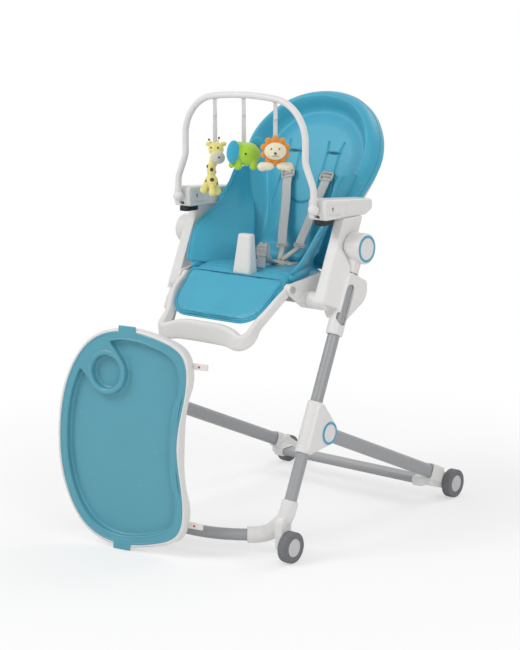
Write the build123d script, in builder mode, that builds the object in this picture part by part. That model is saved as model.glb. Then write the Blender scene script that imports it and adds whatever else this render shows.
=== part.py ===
"""Baby high chair with a folding frame, a seat that slides on the front legs, a tray and a toy arch.

Sizes are millimetres. X = 0 is the plane of symmetry and +X is the child's left. The chair faces -Y
and stands on Z = 0. The tray is off the chair and stands on its side edge in front of it.
"""
import os
from math import atan2, cos, hypot, radians, sin, sqrt

from build123d import *

os.makedirs("parts", exist_ok=True)

# Room between pieces
SOCKET_FIT = 0.1
RUN_FIT = 0.3
FACE_GAP = 0.3

# Front legs: straight tubes that lean back, measured along the tube from the floor axle height
LEG_X = 245.0
LEG_TILT = 23.8
LEG_FOOT_Y = -269.0
LEG_FOOT_Z = 35.0
LEG_OD = 28.0
LEG_WALL = 1.5
LEG_LOW = 78.0
LEG_HIGH = 690.0

# Front cross tube: an arc bowed forward at floor level
BOW_OD = 27.0
BOW_WALL = 1.5
BOW_Z = 40.0
BOW_RADIUS = 224.5
BOW_HALF_ANGLE = 38.6
BOW_APEX_Y = -298.2
BOW_PLUG = 28.0

# Front corners
CORNER_OD = 37.0
CORNER_TOP = 108.0
CORNER_ANKLE = 66.0
CORNER_KNEE = 45.0
CORNER_BENDS = (48.0, 38.0)
LUG_R = 15.0
LUG_NECK_R = 18.0
LUG_NECK_Z = 86.0
LUG_T = 22.0

# Wheels
WHEEL_R = 35.0
WHEEL_W = 22.0
WHEEL_X = 251.0
WHEEL_DISC_R = 21.0
WHEEL_DISC_DEPTH = 1.6
AXLE_R = 4.0
AXLE_LENGTH = 34.0
FRONT_AXLE_Y = -245.6
REAR_AXLE_Y = 402.6

# Leg hubs on top of the front legs
HUB_ALONG = 693.5
HUB_OD = 70.0
HUB_X = 232.0
HUB_LENGTH = 42.0
HUB_SLEEVE_LOW = 634.0
HUB_SLEEVE_OD = 37.0
HUB_EDGE = 3.0

# Trim rings and round caps
HUB_RING_OD = 66.0
PIVOT_RING_OD = 51.0
RING_WIDTH = 5.0
RING_DEPTH = 2.0
RING_PROUD = 1.0
CAP_CROWN = 0.6

# Pivot brackets, where the rear frame joins the front legs
PIVOT_ALONG = 276.0
PIVOT_BEHIND = 48.0
BRACKET_LOW = 216.0
BRACKET_HIGH = 334.0
BRACKET_OD = 38.0
BRACKET_BOSS_R = 28.0
BRACKET_WEB_R = 12.0
BRACKET_WEB_INSET = 14.0
BRACKET_X = 253.0
BRACKET_T = 15.0
PIVOT_PIN_R = 5.0

# Rear frame
REAR_X = 243.5
REAR_TILT = 23.3
REAR_LEG_H = 33.0
REAR_LEG_W = 17.0
REAR_LEG_WALL = 1.5
REAR_LEG_START = 12.0
REAR_LEG_END = 522.0
REAR_EYE_R = 16.5
END_SLEEVE = 46.0
END_WALL = 3.5
END_LUG_R = 17.0
END_LUG_IN_X = 224.0
BAR_Y = 331.8
BAR_Z = 52.0
BAR_DEPTH = 44.0
BAR_HEIGHT = 16.0
BAR_ROUND = 6.0
BAR_WALL = 1.5
BAR_HALF = 228.0
BAR_SOCKET_X = 204.0

# Seat carriages that slide on the front legs
SEAT_TRAVEL = 140.0
CARRIAGE_IN_X = 203.0
CARRIAGE_OUT_X = 230.5
CARRIAGE_FRONT = -52.0
CARRIAGE_BACK = 14.0
SLEEVE_LOW = 489.0
SLEEVE_HIGH = 632.0
SLEEVE_R = 19.5
BULGE_R = 38.0
BULGE_BEHIND = 22.0
BULGE_ALONG = 602.0
BULGE_OUT_X = 262.0
WINDOW_LENGTH = 94.0
WINDOW_WIDTH = 29.0
WINDOW_BEHIND = -2.5
WINDOW_ALONG = 560.0
FLARE_RISE = 52.0
FLARE_ROOM = 0.8
BLOCK_LOW = 545.0
BULGE_IN_X = 215.0
ARM_UNDER_Z = 737.0

# Seat cross tube and the barrels that hold it
SEAT_TUBE_ALONG = 555.0
SEAT_TUBE_BEHIND = -32.0
SEAT_TUBE_OD = 22.0
SEAT_TUBE_WALL = 1.5
BARREL_R = 20.0
SADDLE_LENGTH = 20.0

# Squeeze buttons for the seat height, in the back of the carriage bulge
BUTTON_HEIGHT = 34.0
BUTTON_WIDTH = 16.0
BUTTON_DEPTH = 12.0
BUTTON_PROUD = 4.0
BUTTON_TRAVEL = 3.0
BUTTON_ROUND = 4.0

# Armrests
ARM_X = 201.0
ARM_WIDTH = 50.0
ARM_FRONT_Y = -80.2
ARM_REAR_Y = 97.8
ARM_FRONT_TOP = 785.0
ARM_REAR_TOP = 772.0
ARM_EDGE = 5.0
ARM_CORNER = 8.0
ARM_END_RISE = 12.0
PANEL_DEPTH = 1.2
PANEL_INSET = 12.0
PANEL_LENGTH = 44.0
TRAY_SOCKET_W = 15.0
TRAY_SOCKET_H = 7.0
TRAY_SOCKET_DEPTH = 52.0
TRAY_SOCKET_Z = 745.0

# Tray latch levers under the armrests
LATCH_Y = -54.2
LATCH_LENGTH = 44.0
LATCH_WIDTH = 26.0
LATCH_HEIGHT = 12.0
LATCH_TRAVEL = 4.0

# Seat shell, cushion, wings and post
SHELL_HALF = 160.0
SHELL_WALL = 6.0
SHELL_FRONT_Y = -108.2
SHELL_REAR_Y = 69.8
SHELL_ON_TUBE = 10.3
CUSHION_SIDE = 16.0
CUSHION_FRONT_Y = -118.2
CUSHION_REAR_Y = 55.8
CUSHION_T = 34.0
CUSHION_DRAW = 12.0
CUSHION_ROUND = 34.0
CUSHION_CHANNEL_R = 5.0
CUSHION_CHANNEL_Y = -86.2
WING_T = 12.0
# Height above the shell, then front and rear edge of the left wing: out from the shell's side, and Y
WING_RUNS = (
    (32.0, -10.0, -114.2, -74.0, 39.8),
    (52.0, -5.0, -109.2, -72.5, 46.8),
    (68.0, 4.0, -99.2, -71.0, 51.8),
    (89.0, 11.5, -83.2, -68.5, 59.8),
    (108.0, 17.0, -70.2, -65.0, 66.8),
    (130.0, 19.0, -48.2, -59.0, 73.8),
    (148.0, 18.0, -22.2, -50.0, 77.8),
    (160.0, 13.0, -6.2, -43.0, 81.8),
    (171.0, 5.0, 4.8, -36.0, 84.8),
    (192.0, 1.0, 16.8, -19.0, 89.8),
    (222.0, -4.0, 41.8, -2.0, 97.8),
    (246.0, -4.0, 57.8, 4.0, 102.8),
    (254.0, -1.0, 69.8, 4.0, 103.8),
)
POST_REAR_Y = -71.2
POST_BASE_W = 56.0
POST_BASE_D = 38.0
POST_TOP_W = 38.0
POST_TOP_D = 22.0
POST_HEIGHT = 118.0
POST_ROUND = 8.0
BELT_Y = 10.0
BELT_HALF = 78.0
BUCKLE_X = 24.0
BELT_WIDTH = 25.0
BELT_T = 2.5
BUCKLE_LENGTH = 52.0
BUCKLE_WIDTH = 34.0
BUCKLE_T = 13.0

# Backrest: leaned back, set out from the strap slots up the back and forward of it
BACK_BEHIND = 131.0
BACK_RISE = 255.0
BACK_TILT = 26.0
HINGE_Y = 47.8
HINGE_RISE = 34.0
HINGE_PIN_R = 6.0
BACK_TOP = 155.0
BACK_BOTTOM = -280.0
BACK_HALF = 190.0
BACK_WAIST_HALF = 140.0
BACK_FOOT_HALF = 130.0
BACK_SHOULDER_DROP = 34.0
BACK_WAIST = -170.0
EGG_SHOULDER = 0.62
FOOT_SLOPE = 0.1
BACK_PAD_T = 8.0
BACK_CROWN = 10.0
RIM_WIDTH = 30.0
RIM_TOP = 26.0
RIM_MID = 44.0
RIM_WAIST = 22.0
RIM_LOW = 6.0
BACK_SHELL_T = 5.0
BACK_SHELL_INSET = 6.0
SLOT_X = 58.0
SLOT_LENGTH = 28.0
SLOT_WIDTH = 3.4
SLOT_STEP = 54.0
CHANNEL_R = 4.0
EAR_T = 9.0
EAR_R = 15.0
STRAP_WIDTH = 25.0
STRAP_T = 2.4
STRAP_BEND = 14.0
STRAP_LOW_XS = (57.0, 6.0)
STRAP_LOW_Y = 44.0
STRAP_LOW_RISE = 42.0
HANDLE_LENGTH = 92.0
HANDLE_HEIGHT = 26.0
HANDLE_T = 14.0
HANDLE_UP = 78.0
HANDLE_TRAVEL = 10.0
HANDLE_NECK = 14.0

# Footrest
FOOT_HINGE_Y = -120.2
FOOT_HINGE_RISE = 16.0
FOOT_TILT = 49.0
FOOT_ARM_W = 22.0
FOOT_ARM_T = 12.0
FOOT_ARM_TOE_IN = 26.0
FOOT_BAR_INSET = 18.7
FOOT_LIP_TAPER = 22.0
FOOT_BAR_FACE = 116.0
FOOT_BAR_NOSE = 154.0
FOOT_BAR_RISE = 6.0
FOOT_BAR_T = 20.0
FOOT_LIP_RUN = 20.0
FOOT_LIP_DROP = 37.0
FOOT_LIP_T = 10.0
FOOT_BAR_ROUND = 4.0
FOOT_PLATE_T = 4.0
FOOT_PLATE_START = 16.0
FOOT_PLATE_END = 60.0
FOOT_PIN_R = 4.0
CALF_ROOM = 3.7
CALF_TAPER = 13.0
CALF_TOP_R = 14.0
CALF_LOW = -2.0
CALF_DRAW = 6.0
CALF_START = 4.0
CALF_END = 112.0
CALF_T = 15.0
CALF_CORNER = 42.0

# Toy arch
ARCH_Y = -91.2
ARCH_BALL_X = 200.5
ARCH_BALL_Z = 762.0
ARCH_BALL_R = 12.5
ARCH_OD = 15.0
ARCH_KNEE_LOW = 808.0
ARCH_KNEE_HIGH = 862.0
ARCH_NECK_X = 177.0
ARCH_SHOULDER_Z = 992.0
ARCH_TOP_Z = 1011.0
ARCH_KNEE_R = 50.0
ARCH_SHOULDER_R = 95.0
ARCH_CROWN_R = 780.0

# Ribbons and plush animals
RIBBON_WIDTH = 9.0
RIBBON_T = 1.6
RIBBON_ROOM = 0.8
GIRAFFE_X = -86.0
ELEPHANT_X = 0.0
LION_X = 92.0
PLUSH_ROUND = 0.46
TOY_TURN = 39.0
# Sections of each stuffed form: distance along it, width, depth
GIRAFFE_BODY_AT = (-12.0, 790.0)
GIRAFFE_BODY = ((0, 18, 16), (8, 34, 32), (22, 34, 30), (38, 21, 20), (66, 19, 19), (76, 10, 10))
GIRAFFE_HEAD_AT = (2.0, 872.0)
GIRAFFE_HEAD_BEHIND = 16.0
GIRAFFE_HEAD = ((0, 16, 18), (8, 36, 38), (20, 40, 40), (30, 34, 32), (42, 28, 24), (48, 12, 10))
GIRAFFE_LEG_Z = 772.0
GIRAFFE_LEGS_AT = ((-24, -10), (-24, 10), (2, -12), (2, 12))
GIRAFFE_LEG = ((0, 10, 10), (5, 17, 17), (16, 14, 14), (26, 8, 8))
ELEPHANT_BODY_AT = (-30.0, 872.0)
ELEPHANT_BODY = ((0, 24, 26), (12, 46, 46), (34, 54, 56), (56, 46, 50), (68, 22, 26))
ELEPHANT_LEG_Z = 838.0
ELEPHANT_LEGS_AT = ((-14, -14), (-14, 14), (22, -14), (22, 14))
ELEPHANT_LEG = ((0, 12, 12), (5, 20, 20), (14, 19, 19), (24, 10, 10))
NEAR_EAR_AT = (-34.0, 876.0)
NEAR_EAR_FRONT = 12.0
NEAR_EAR = ((0, 14, 30), (5, 32, 54), (10, 32, 54), (15, 14, 30))
FAR_EAR_AT = (32.0, 890.0)
FAR_EAR_BEHIND = 14.0
FAR_EAR = ((-6, 10, 12), (0, 26, 32), (5, 26, 32), (10, 10, 12))
LION_Z = 884.0
LION_HEAD = ((0, 44, 36), (6, 50, 42), (14, 44, 37), (20, 20, 16))
PAW_AT = (4.0, 852.0)
PAW_FRONT = 4.0
PAW_DROOP = 0.25
PAW = ((0, 22, 16), (16, 22, 17), (28, 24, 19), (36, 12, 10))
MANE_R = 30.0
MANE_LOBES = 11
MANE_LOBE_R = 8.0
MANE_T = 16.0

# Tray: laid out from its middle, front to rear and side to side, then stood on its side edge
TRAY_AT = (-98.5, -402.2, 254.7)
TRAY_TURN = 10.0
TRAY_LEAN = 4.0
TRAY_FRONT = -174.0
TRAY_REAR = 152.0
TRAY_HORN = 172.0
TRAY_HALF = 248.0
TRAY_DEPTH = 26.0
TRAY_RIM = 7.0
TRAY_POCKET = 18.0
INSERT_LEDGE = 19.0
INSERT_FLOOR = 4.0
INSERT_PROUD = 1.0
CUP_AT = (-45.0, 145.0)
CUP_R = 38.0
CUP_RING = 13.0
CUP_BRIDGE = (-78.0, 182.0)
TAB_WIDTH = 46.0
TAB_REACH = 7.0
TAB_T = 3.0
TAB_AT = 9.0
TONGUE_AT = 178.0
TONGUE_LENGTH = 34.0
TONGUE_PLUG = 20.0
TONGUE_W = 14.0
TONGUE_T = 6.0
BUMP_AT = 66.0
BUMP_LENGTH = 86.0
BUMP_DEPTH = 9.0
BUMP_WIDTH = 22.0


def save(piece, name):
    """Label a finished piece and write it."""
    piece.part.label = name
    export_step(piece.part, f"parts/{name}.step")


def save_pair(piece, name):
    """Write the left piece and its mirror image on the right."""
    save(piece, f"{name}_left")
    with BuildPart() as twin:
        mirror(piece.part, about=Plane.YZ)
    save(twin, f"{name}_right")


def side(x):
    """Plane seen from the child's left at x: local x is Y and local y is Z."""
    return Plane.YZ.offset(x)


LEG_SIN = sin(radians(LEG_TILT))
LEG_COS = cos(radians(LEG_TILT))


def leg_yz(along, behind=0.0):
    """Y and Z of a point beside the leg axis."""
    y = LEG_FOOT_Y + along * LEG_SIN + behind * LEG_COS
    z = LEG_FOOT_Z + along * LEG_COS - behind * LEG_SIN
    return (y, z)


def leg_cross(along, behind=0.0, x=LEG_X):
    """Plane square to the leg: local x is X, local y points behind it."""
    return Plane(origin=(x, *leg_yz(along, behind)), x_dir=(1, 0, 0), z_dir=(0, LEG_SIN, LEG_COS))


def leg_side(x):
    """Side plane set along the leg: local x points behind it, local y runs up it."""
    return Plane(origin=(x, LEG_FOOT_Y, LEG_FOOT_Z), x_dir=(0, LEG_COS, -LEG_SIN), z_dir=(1, 0, 0))


PIVOT_YZ = leg_yz(PIVOT_ALONG, PIVOT_BEHIND)
HUB_YZ = leg_yz(HUB_ALONG)
SEAT_TUBE_YZ = leg_yz(SEAT_TUBE_ALONG, SEAT_TUBE_BEHIND)
SHELL_Z = SEAT_TUBE_YZ[1] + SHELL_ON_TUBE
SHELL_TOP = SHELL_Z + SHELL_WALL
BARREL_IN_X = SHELL_HALF + SADDLE_LENGTH
CUSHION_TOP = SHELL_TOP + CUSHION_T
CUSHION_HALF = SHELL_HALF - CUSHION_SIDE
HINGE_Z = SHELL_Z + HINGE_RISE
BACK_Y = HINGE_Y + BACK_BEHIND
BACK_Z = HINGE_Z + BACK_RISE
FOOT_HINGE_Z = SHELL_Z + FOOT_HINGE_RISE
REAR_SIN = sin(radians(REAR_TILT))
REAR_COS = cos(radians(REAR_TILT))


def rear_yz(along, above=0.0):
    """Y and Z of a point beside the rear leg axis, measured from the pivot."""
    y = PIVOT_YZ[0] + along * REAR_COS + above * REAR_SIN
    z = PIVOT_YZ[1] - along * REAR_SIN + above * REAR_COS
    return (y, z)


def rear_cross(along):
    """Plane square to the rear leg."""
    return Plane(origin=(REAR_X, *rear_yz(along)), x_dir=(1, 0, 0), z_dir=(0, REAR_COS, -REAR_SIN))


# Front legs
with BuildPart() as front_leg:
    with BuildSketch(leg_cross(LEG_LOW)):
        Circle(LEG_OD / 2)
        Circle(LEG_OD / 2 - LEG_WALL, mode=Mode.SUBTRACT)
    extrude(amount=LEG_HIGH - LEG_LOW)
save_pair(front_leg, "front_leg")

# Front cross tube, with straight ends that plug into the corners
BOW_SIN = sin(radians(BOW_HALF_ANGLE))
BOW_COS = cos(radians(BOW_HALF_ANGLE))
BOW_OUT = Vector(BOW_COS, BOW_SIN, 0)
BOW_MOUTH = Vector(BOW_RADIUS * BOW_SIN, BOW_APEX_Y + BOW_RADIUS * (1 - BOW_COS), BOW_Z)
BOW_END = BOW_MOUTH + BOW_OUT * BOW_PLUG
with BuildPart() as front_cross_tube:
    with BuildLine() as bow:
        Line((-BOW_END.X, BOW_END.Y, BOW_Z), (-BOW_MOUTH.X, BOW_MOUTH.Y, BOW_Z))
        ThreePointArc((-BOW_MOUTH.X, BOW_MOUTH.Y, BOW_Z), (0, BOW_APEX_Y, BOW_Z), BOW_MOUTH)
        Line(BOW_MOUTH, BOW_END)
    with BuildSketch(Plane(origin=bow.wire() @ 0, z_dir=bow.wire() % 0)):
        Circle(BOW_OD / 2)
        Circle(BOW_OD / 2 - BOW_WALL, mode=Mode.SUBTRACT)
    sweep(path=bow.wire())
save(front_cross_tube, "front_cross_tube")

# Front corners: a bent arm from the cross tube to the leg, with a lug down to the axle
with BuildPart() as front_corner:
    with BuildLine() as spine:
        FilletPolyline(
            BOW_MOUTH,
            BOW_MOUTH + BOW_OUT * CORNER_KNEE,
            (LEG_X, *leg_yz(CORNER_ANKLE)),
            (LEG_X, *leg_yz(CORNER_TOP)),
            radius=CORNER_BENDS,
        )
    with BuildSketch(Plane(origin=BOW_MOUTH, z_dir=BOW_OUT)):
        Circle(CORNER_OD / 2)
    sweep(path=spine.wire())
    with BuildSketch(side(WHEEL_X - FACE_GAP - LUG_T)):
        with Locations((FRONT_AXLE_Y, WHEEL_R)):
            Circle(LUG_R)
        with Locations((FRONT_AXLE_Y, LUG_NECK_Z)):
            Circle(LUG_NECK_R)
        make_hull()
    extrude(amount=LUG_T)
    with BuildSketch(leg_cross(LEG_LOW)):
        Circle(LEG_OD / 2 + SOCKET_FIT)
    extrude(amount=LEG_OD * 2, mode=Mode.SUBTRACT)
    with BuildSketch(Plane(origin=BOW_MOUTH, z_dir=BOW_OUT)):
        Circle(BOW_OD / 2 + SOCKET_FIT)
    extrude(amount=BOW_PLUG, mode=Mode.SUBTRACT)
    with BuildSketch(side(WHEEL_X - FACE_GAP - LUG_T)):
        with Locations((FRONT_AXLE_Y, WHEEL_R)):
            Circle(AXLE_R + SOCKET_FIT)
    extrude(amount=LUG_T, mode=Mode.SUBTRACT)
save_pair(front_corner, "front_corner")

# Leg hubs: a drum across the top of the leg, on a sleeve
with BuildPart() as leg_hub:
    with BuildSketch(side(HUB_X)):
        with Locations(HUB_YZ):
            Circle(HUB_OD / 2)
    extrude(amount=HUB_LENGTH)
    fillet(leg_hub.edges().filter_by(GeomType.CIRCLE), radius=HUB_EDGE)
    with BuildSketch(leg_cross(HUB_SLEEVE_LOW)):
        Circle(HUB_SLEEVE_OD / 2)
    extrude(amount=HUB_ALONG - HUB_SLEEVE_LOW)
    with BuildSketch(leg_cross(HUB_SLEEVE_LOW)):
        Circle(LEG_OD / 2 + SOCKET_FIT)
    extrude(amount=LEG_HIGH - HUB_SLEEVE_LOW, mode=Mode.SUBTRACT)
    with BuildSketch(side(HUB_X + HUB_LENGTH - RING_DEPTH)):
        with Locations(HUB_YZ):
            Circle(HUB_RING_OD / 2 - HUB_EDGE)
    extrude(amount=RING_DEPTH, mode=Mode.SUBTRACT)
save_pair(leg_hub, "leg_hub")

# Pivot brackets: a sleeve on the leg, a web behind it and a round boss over the pivot pin
with BuildPart() as pivot_bracket:
    with BuildSketch(leg_cross(BRACKET_LOW)):
        Circle(BRACKET_OD / 2)
    extrude(amount=BRACKET_HIGH - BRACKET_LOW)
    with BuildSketch(leg_side(BRACKET_X)):
        with Locations((PIVOT_BEHIND, PIVOT_ALONG)):
            Circle(BRACKET_BOSS_R)
        with Locations((0, BRACKET_LOW + BRACKET_WEB_INSET), (0, BRACKET_HIGH - BRACKET_WEB_INSET)):
            Circle(BRACKET_WEB_R)
        make_hull()
    extrude(amount=BRACKET_T)
    with BuildSketch(leg_cross(BRACKET_LOW)):
        Circle(LEG_OD / 2 + SOCKET_FIT)
    extrude(amount=BRACKET_HIGH - BRACKET_LOW, mode=Mode.SUBTRACT)
    with BuildSketch(side(BRACKET_X)):
        with Locations(PIVOT_YZ):
            Circle(PIVOT_PIN_R + SOCKET_FIT)
    extrude(amount=BRACKET_T - RING_DEPTH, mode=Mode.SUBTRACT)
    with BuildSketch(side(BRACKET_X + BRACKET_T - RING_DEPTH)):
        with Locations(PIVOT_YZ):
            Circle(PIVOT_RING_OD / 2)
    extrude(amount=RING_DEPTH, mode=Mode.SUBTRACT)
save_pair(pivot_bracket, "pivot_bracket")

# Trim rings and caps: where each sits, its seat and its outer diameter
HUB_SEAT_OD = HUB_RING_OD - 2 * HUB_EDGE
ROUND_SEATS = (
    (HUB_X + HUB_LENGTH - RING_DEPTH, HUB_YZ, HUB_SEAT_OD),
    (BRACKET_X + BRACKET_T - RING_DEPTH, PIVOT_YZ, PIVOT_RING_OD),
)
with BuildPart() as trim_rings:
    for seat_x, seat_yz, seat_od in ROUND_SEATS:
        with BuildSketch(side(seat_x)):
            with Locations(seat_yz):
                Circle(seat_od / 2 - SOCKET_FIT)
                Circle(seat_od / 2 - RING_WIDTH, mode=Mode.SUBTRACT)
        extrude(amount=RING_DEPTH + RING_PROUD)
    mirror(about=Plane.YZ)
save(trim_rings, "trim_rings")

with BuildPart() as round_caps:
    for seat_x, seat_yz, seat_od in ROUND_SEATS:
        with BuildSketch(side(seat_x)):
            with Locations(seat_yz):
                Circle(seat_od / 2 - RING_WIDTH - SOCKET_FIT)
        extrude(amount=RING_DEPTH + RING_PROUD - CAP_CROWN)
    mirror(about=Plane.YZ)
save(round_caps, "round_caps")

# Pins on the front frame: front axles and rear frame pivots
with BuildPart() as frame_pins:
    with BuildSketch(side(WHEEL_X - FACE_GAP - LUG_T)):
        with Locations((FRONT_AXLE_Y, WHEEL_R)):
            Circle(AXLE_R)
    extrude(amount=AXLE_LENGTH)
    with BuildSketch(side(REAR_X - REAR_LEG_W / 2)):
        with Locations(PIVOT_YZ):
            Circle(PIVOT_PIN_R)
    extrude(amount=BRACKET_X + BRACKET_T - RING_DEPTH - REAR_X + REAR_LEG_W / 2)
    mirror(about=Plane.YZ)
save(frame_pins, "frame_pins")

# Rear legs: flat oval tubes with an eye on the pivot pin
with BuildPart() as rear_leg:
    with BuildSketch(rear_cross(REAR_LEG_START)):
        SlotOverall(REAR_LEG_H, REAR_LEG_W, rotation=90)
        SlotOverall(
            REAR_LEG_H - 2 * REAR_LEG_WALL,
            REAR_LEG_W - 2 * REAR_LEG_WALL,
            rotation=90,
            mode=Mode.SUBTRACT,
        )
    extrude(amount=REAR_LEG_END - REAR_LEG_START)
    with BuildSketch(side(REAR_X - REAR_LEG_W / 2)):
        with Locations(PIVOT_YZ):
            Circle(REAR_EYE_R)
    extrude(amount=REAR_LEG_W)
    with BuildSketch(side(REAR_X - REAR_LEG_W / 2)):
        with Locations(PIVOT_YZ):
            Circle(PIVOT_PIN_R + RUN_FIT)
    extrude(amount=REAR_LEG_W, mode=Mode.SUBTRACT)
save_pair(rear_leg, "rear_leg")

# Rear end caps: a sleeve on the leg, a lug for the axle and a socket for the cross bar
END_LUG_OUT_X = WHEEL_X - FACE_GAP
with BuildPart() as rear_end:
    with BuildSketch(rear_cross(REAR_LEG_END - END_SLEEVE)):
        RectangleRounded(REAR_LEG_W + 2 * END_WALL, REAR_LEG_H + 2 * END_WALL, END_WALL)
    extrude(amount=END_SLEEVE + END_WALL)
    with BuildSketch(side(END_LUG_IN_X)):
        with Locations((REAR_AXLE_Y, WHEEL_R)):
            Circle(END_LUG_R)
        with Locations(rear_yz(REAR_LEG_END - END_LUG_R)):
            Circle(END_LUG_R)
        with Locations((BAR_Y, BAR_Z)):
            Circle(BAR_HEIGHT / 2 + END_WALL)
        make_hull()
    extrude(amount=END_LUG_OUT_X - END_LUG_IN_X)
    with BuildSketch(side(BAR_SOCKET_X)):
        with Locations((BAR_Y, BAR_Z)):
            RectangleRounded(BAR_DEPTH + 2 * END_WALL, BAR_HEIGHT + 2 * END_WALL, BAR_ROUND)
    extrude(amount=BAR_HALF + END_WALL - BAR_SOCKET_X)
    with BuildSketch(rear_cross(0)):
        SlotOverall(REAR_LEG_H + 2 * SOCKET_FIT, REAR_LEG_W + 2 * SOCKET_FIT, rotation=90)
    extrude(amount=REAR_LEG_END, mode=Mode.SUBTRACT)
    with BuildSketch(side(BAR_SOCKET_X)):
        with Locations((BAR_Y, BAR_Z)):
            RectangleRounded(BAR_DEPTH + 2 * SOCKET_FIT, BAR_HEIGHT + 2 * SOCKET_FIT, BAR_ROUND)
    extrude(amount=BAR_HALF - BAR_SOCKET_X, mode=Mode.SUBTRACT)
    with BuildSketch(side(END_LUG_IN_X)):
        with Locations((REAR_AXLE_Y, WHEEL_R)):
            Circle(AXLE_R + SOCKET_FIT)
    extrude(amount=END_LUG_OUT_X - END_LUG_IN_X, mode=Mode.SUBTRACT)
save_pair(rear_end, "rear_end")

with BuildPart() as rear_cross_bar:
    with BuildSketch(side(-BAR_HALF)):
        with Locations((BAR_Y, BAR_Z)):
            RectangleRounded(BAR_DEPTH, BAR_HEIGHT, BAR_ROUND)
            RectangleRounded(
                BAR_DEPTH - 2 * BAR_WALL,
                BAR_HEIGHT - 2 * BAR_WALL,
                BAR_ROUND - BAR_WALL,
                mode=Mode.SUBTRACT,
            )
    extrude(amount=2 * BAR_HALF)
save(rear_cross_bar, "rear_cross_bar")

with BuildPart() as rear_axles:
    with BuildSketch(side(END_LUG_OUT_X - LUG_T)):
        with Locations((REAR_AXLE_Y, WHEEL_R)):
            Circle(AXLE_R)
    extrude(amount=AXLE_LENGTH)
    mirror(about=Plane.YZ)
save(rear_axles, "rear_axles")

# Wheels: a rounded tread, a shallow seat for the face disc and a blind bore on the axle
for wheel_name, axle_y in (("front_wheel", FRONT_AXLE_Y), ("rear_wheel", REAR_AXLE_Y)):
    with BuildPart() as wheel:
        with BuildSketch(side(WHEEL_X)):
            with Locations((axle_y, WHEEL_R)):
                Circle(WHEEL_R)
        extrude(amount=WHEEL_W)
        fillet(wheel.edges(), radius=WHEEL_W / 8)
        with BuildSketch(side(WHEEL_X + WHEEL_W - WHEEL_DISC_DEPTH)):
            with Locations((axle_y, WHEEL_R)):
                Circle(WHEEL_DISC_R)
        extrude(amount=WHEEL_DISC_DEPTH, mode=Mode.SUBTRACT)
        with BuildSketch(side(WHEEL_X)):
            with Locations((axle_y, WHEEL_R)):
                Circle(AXLE_R + RUN_FIT)
        extrude(amount=AXLE_LENGTH - LUG_T + FACE_GAP, mode=Mode.SUBTRACT)
    save_pair(wheel, wheel_name)

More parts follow.
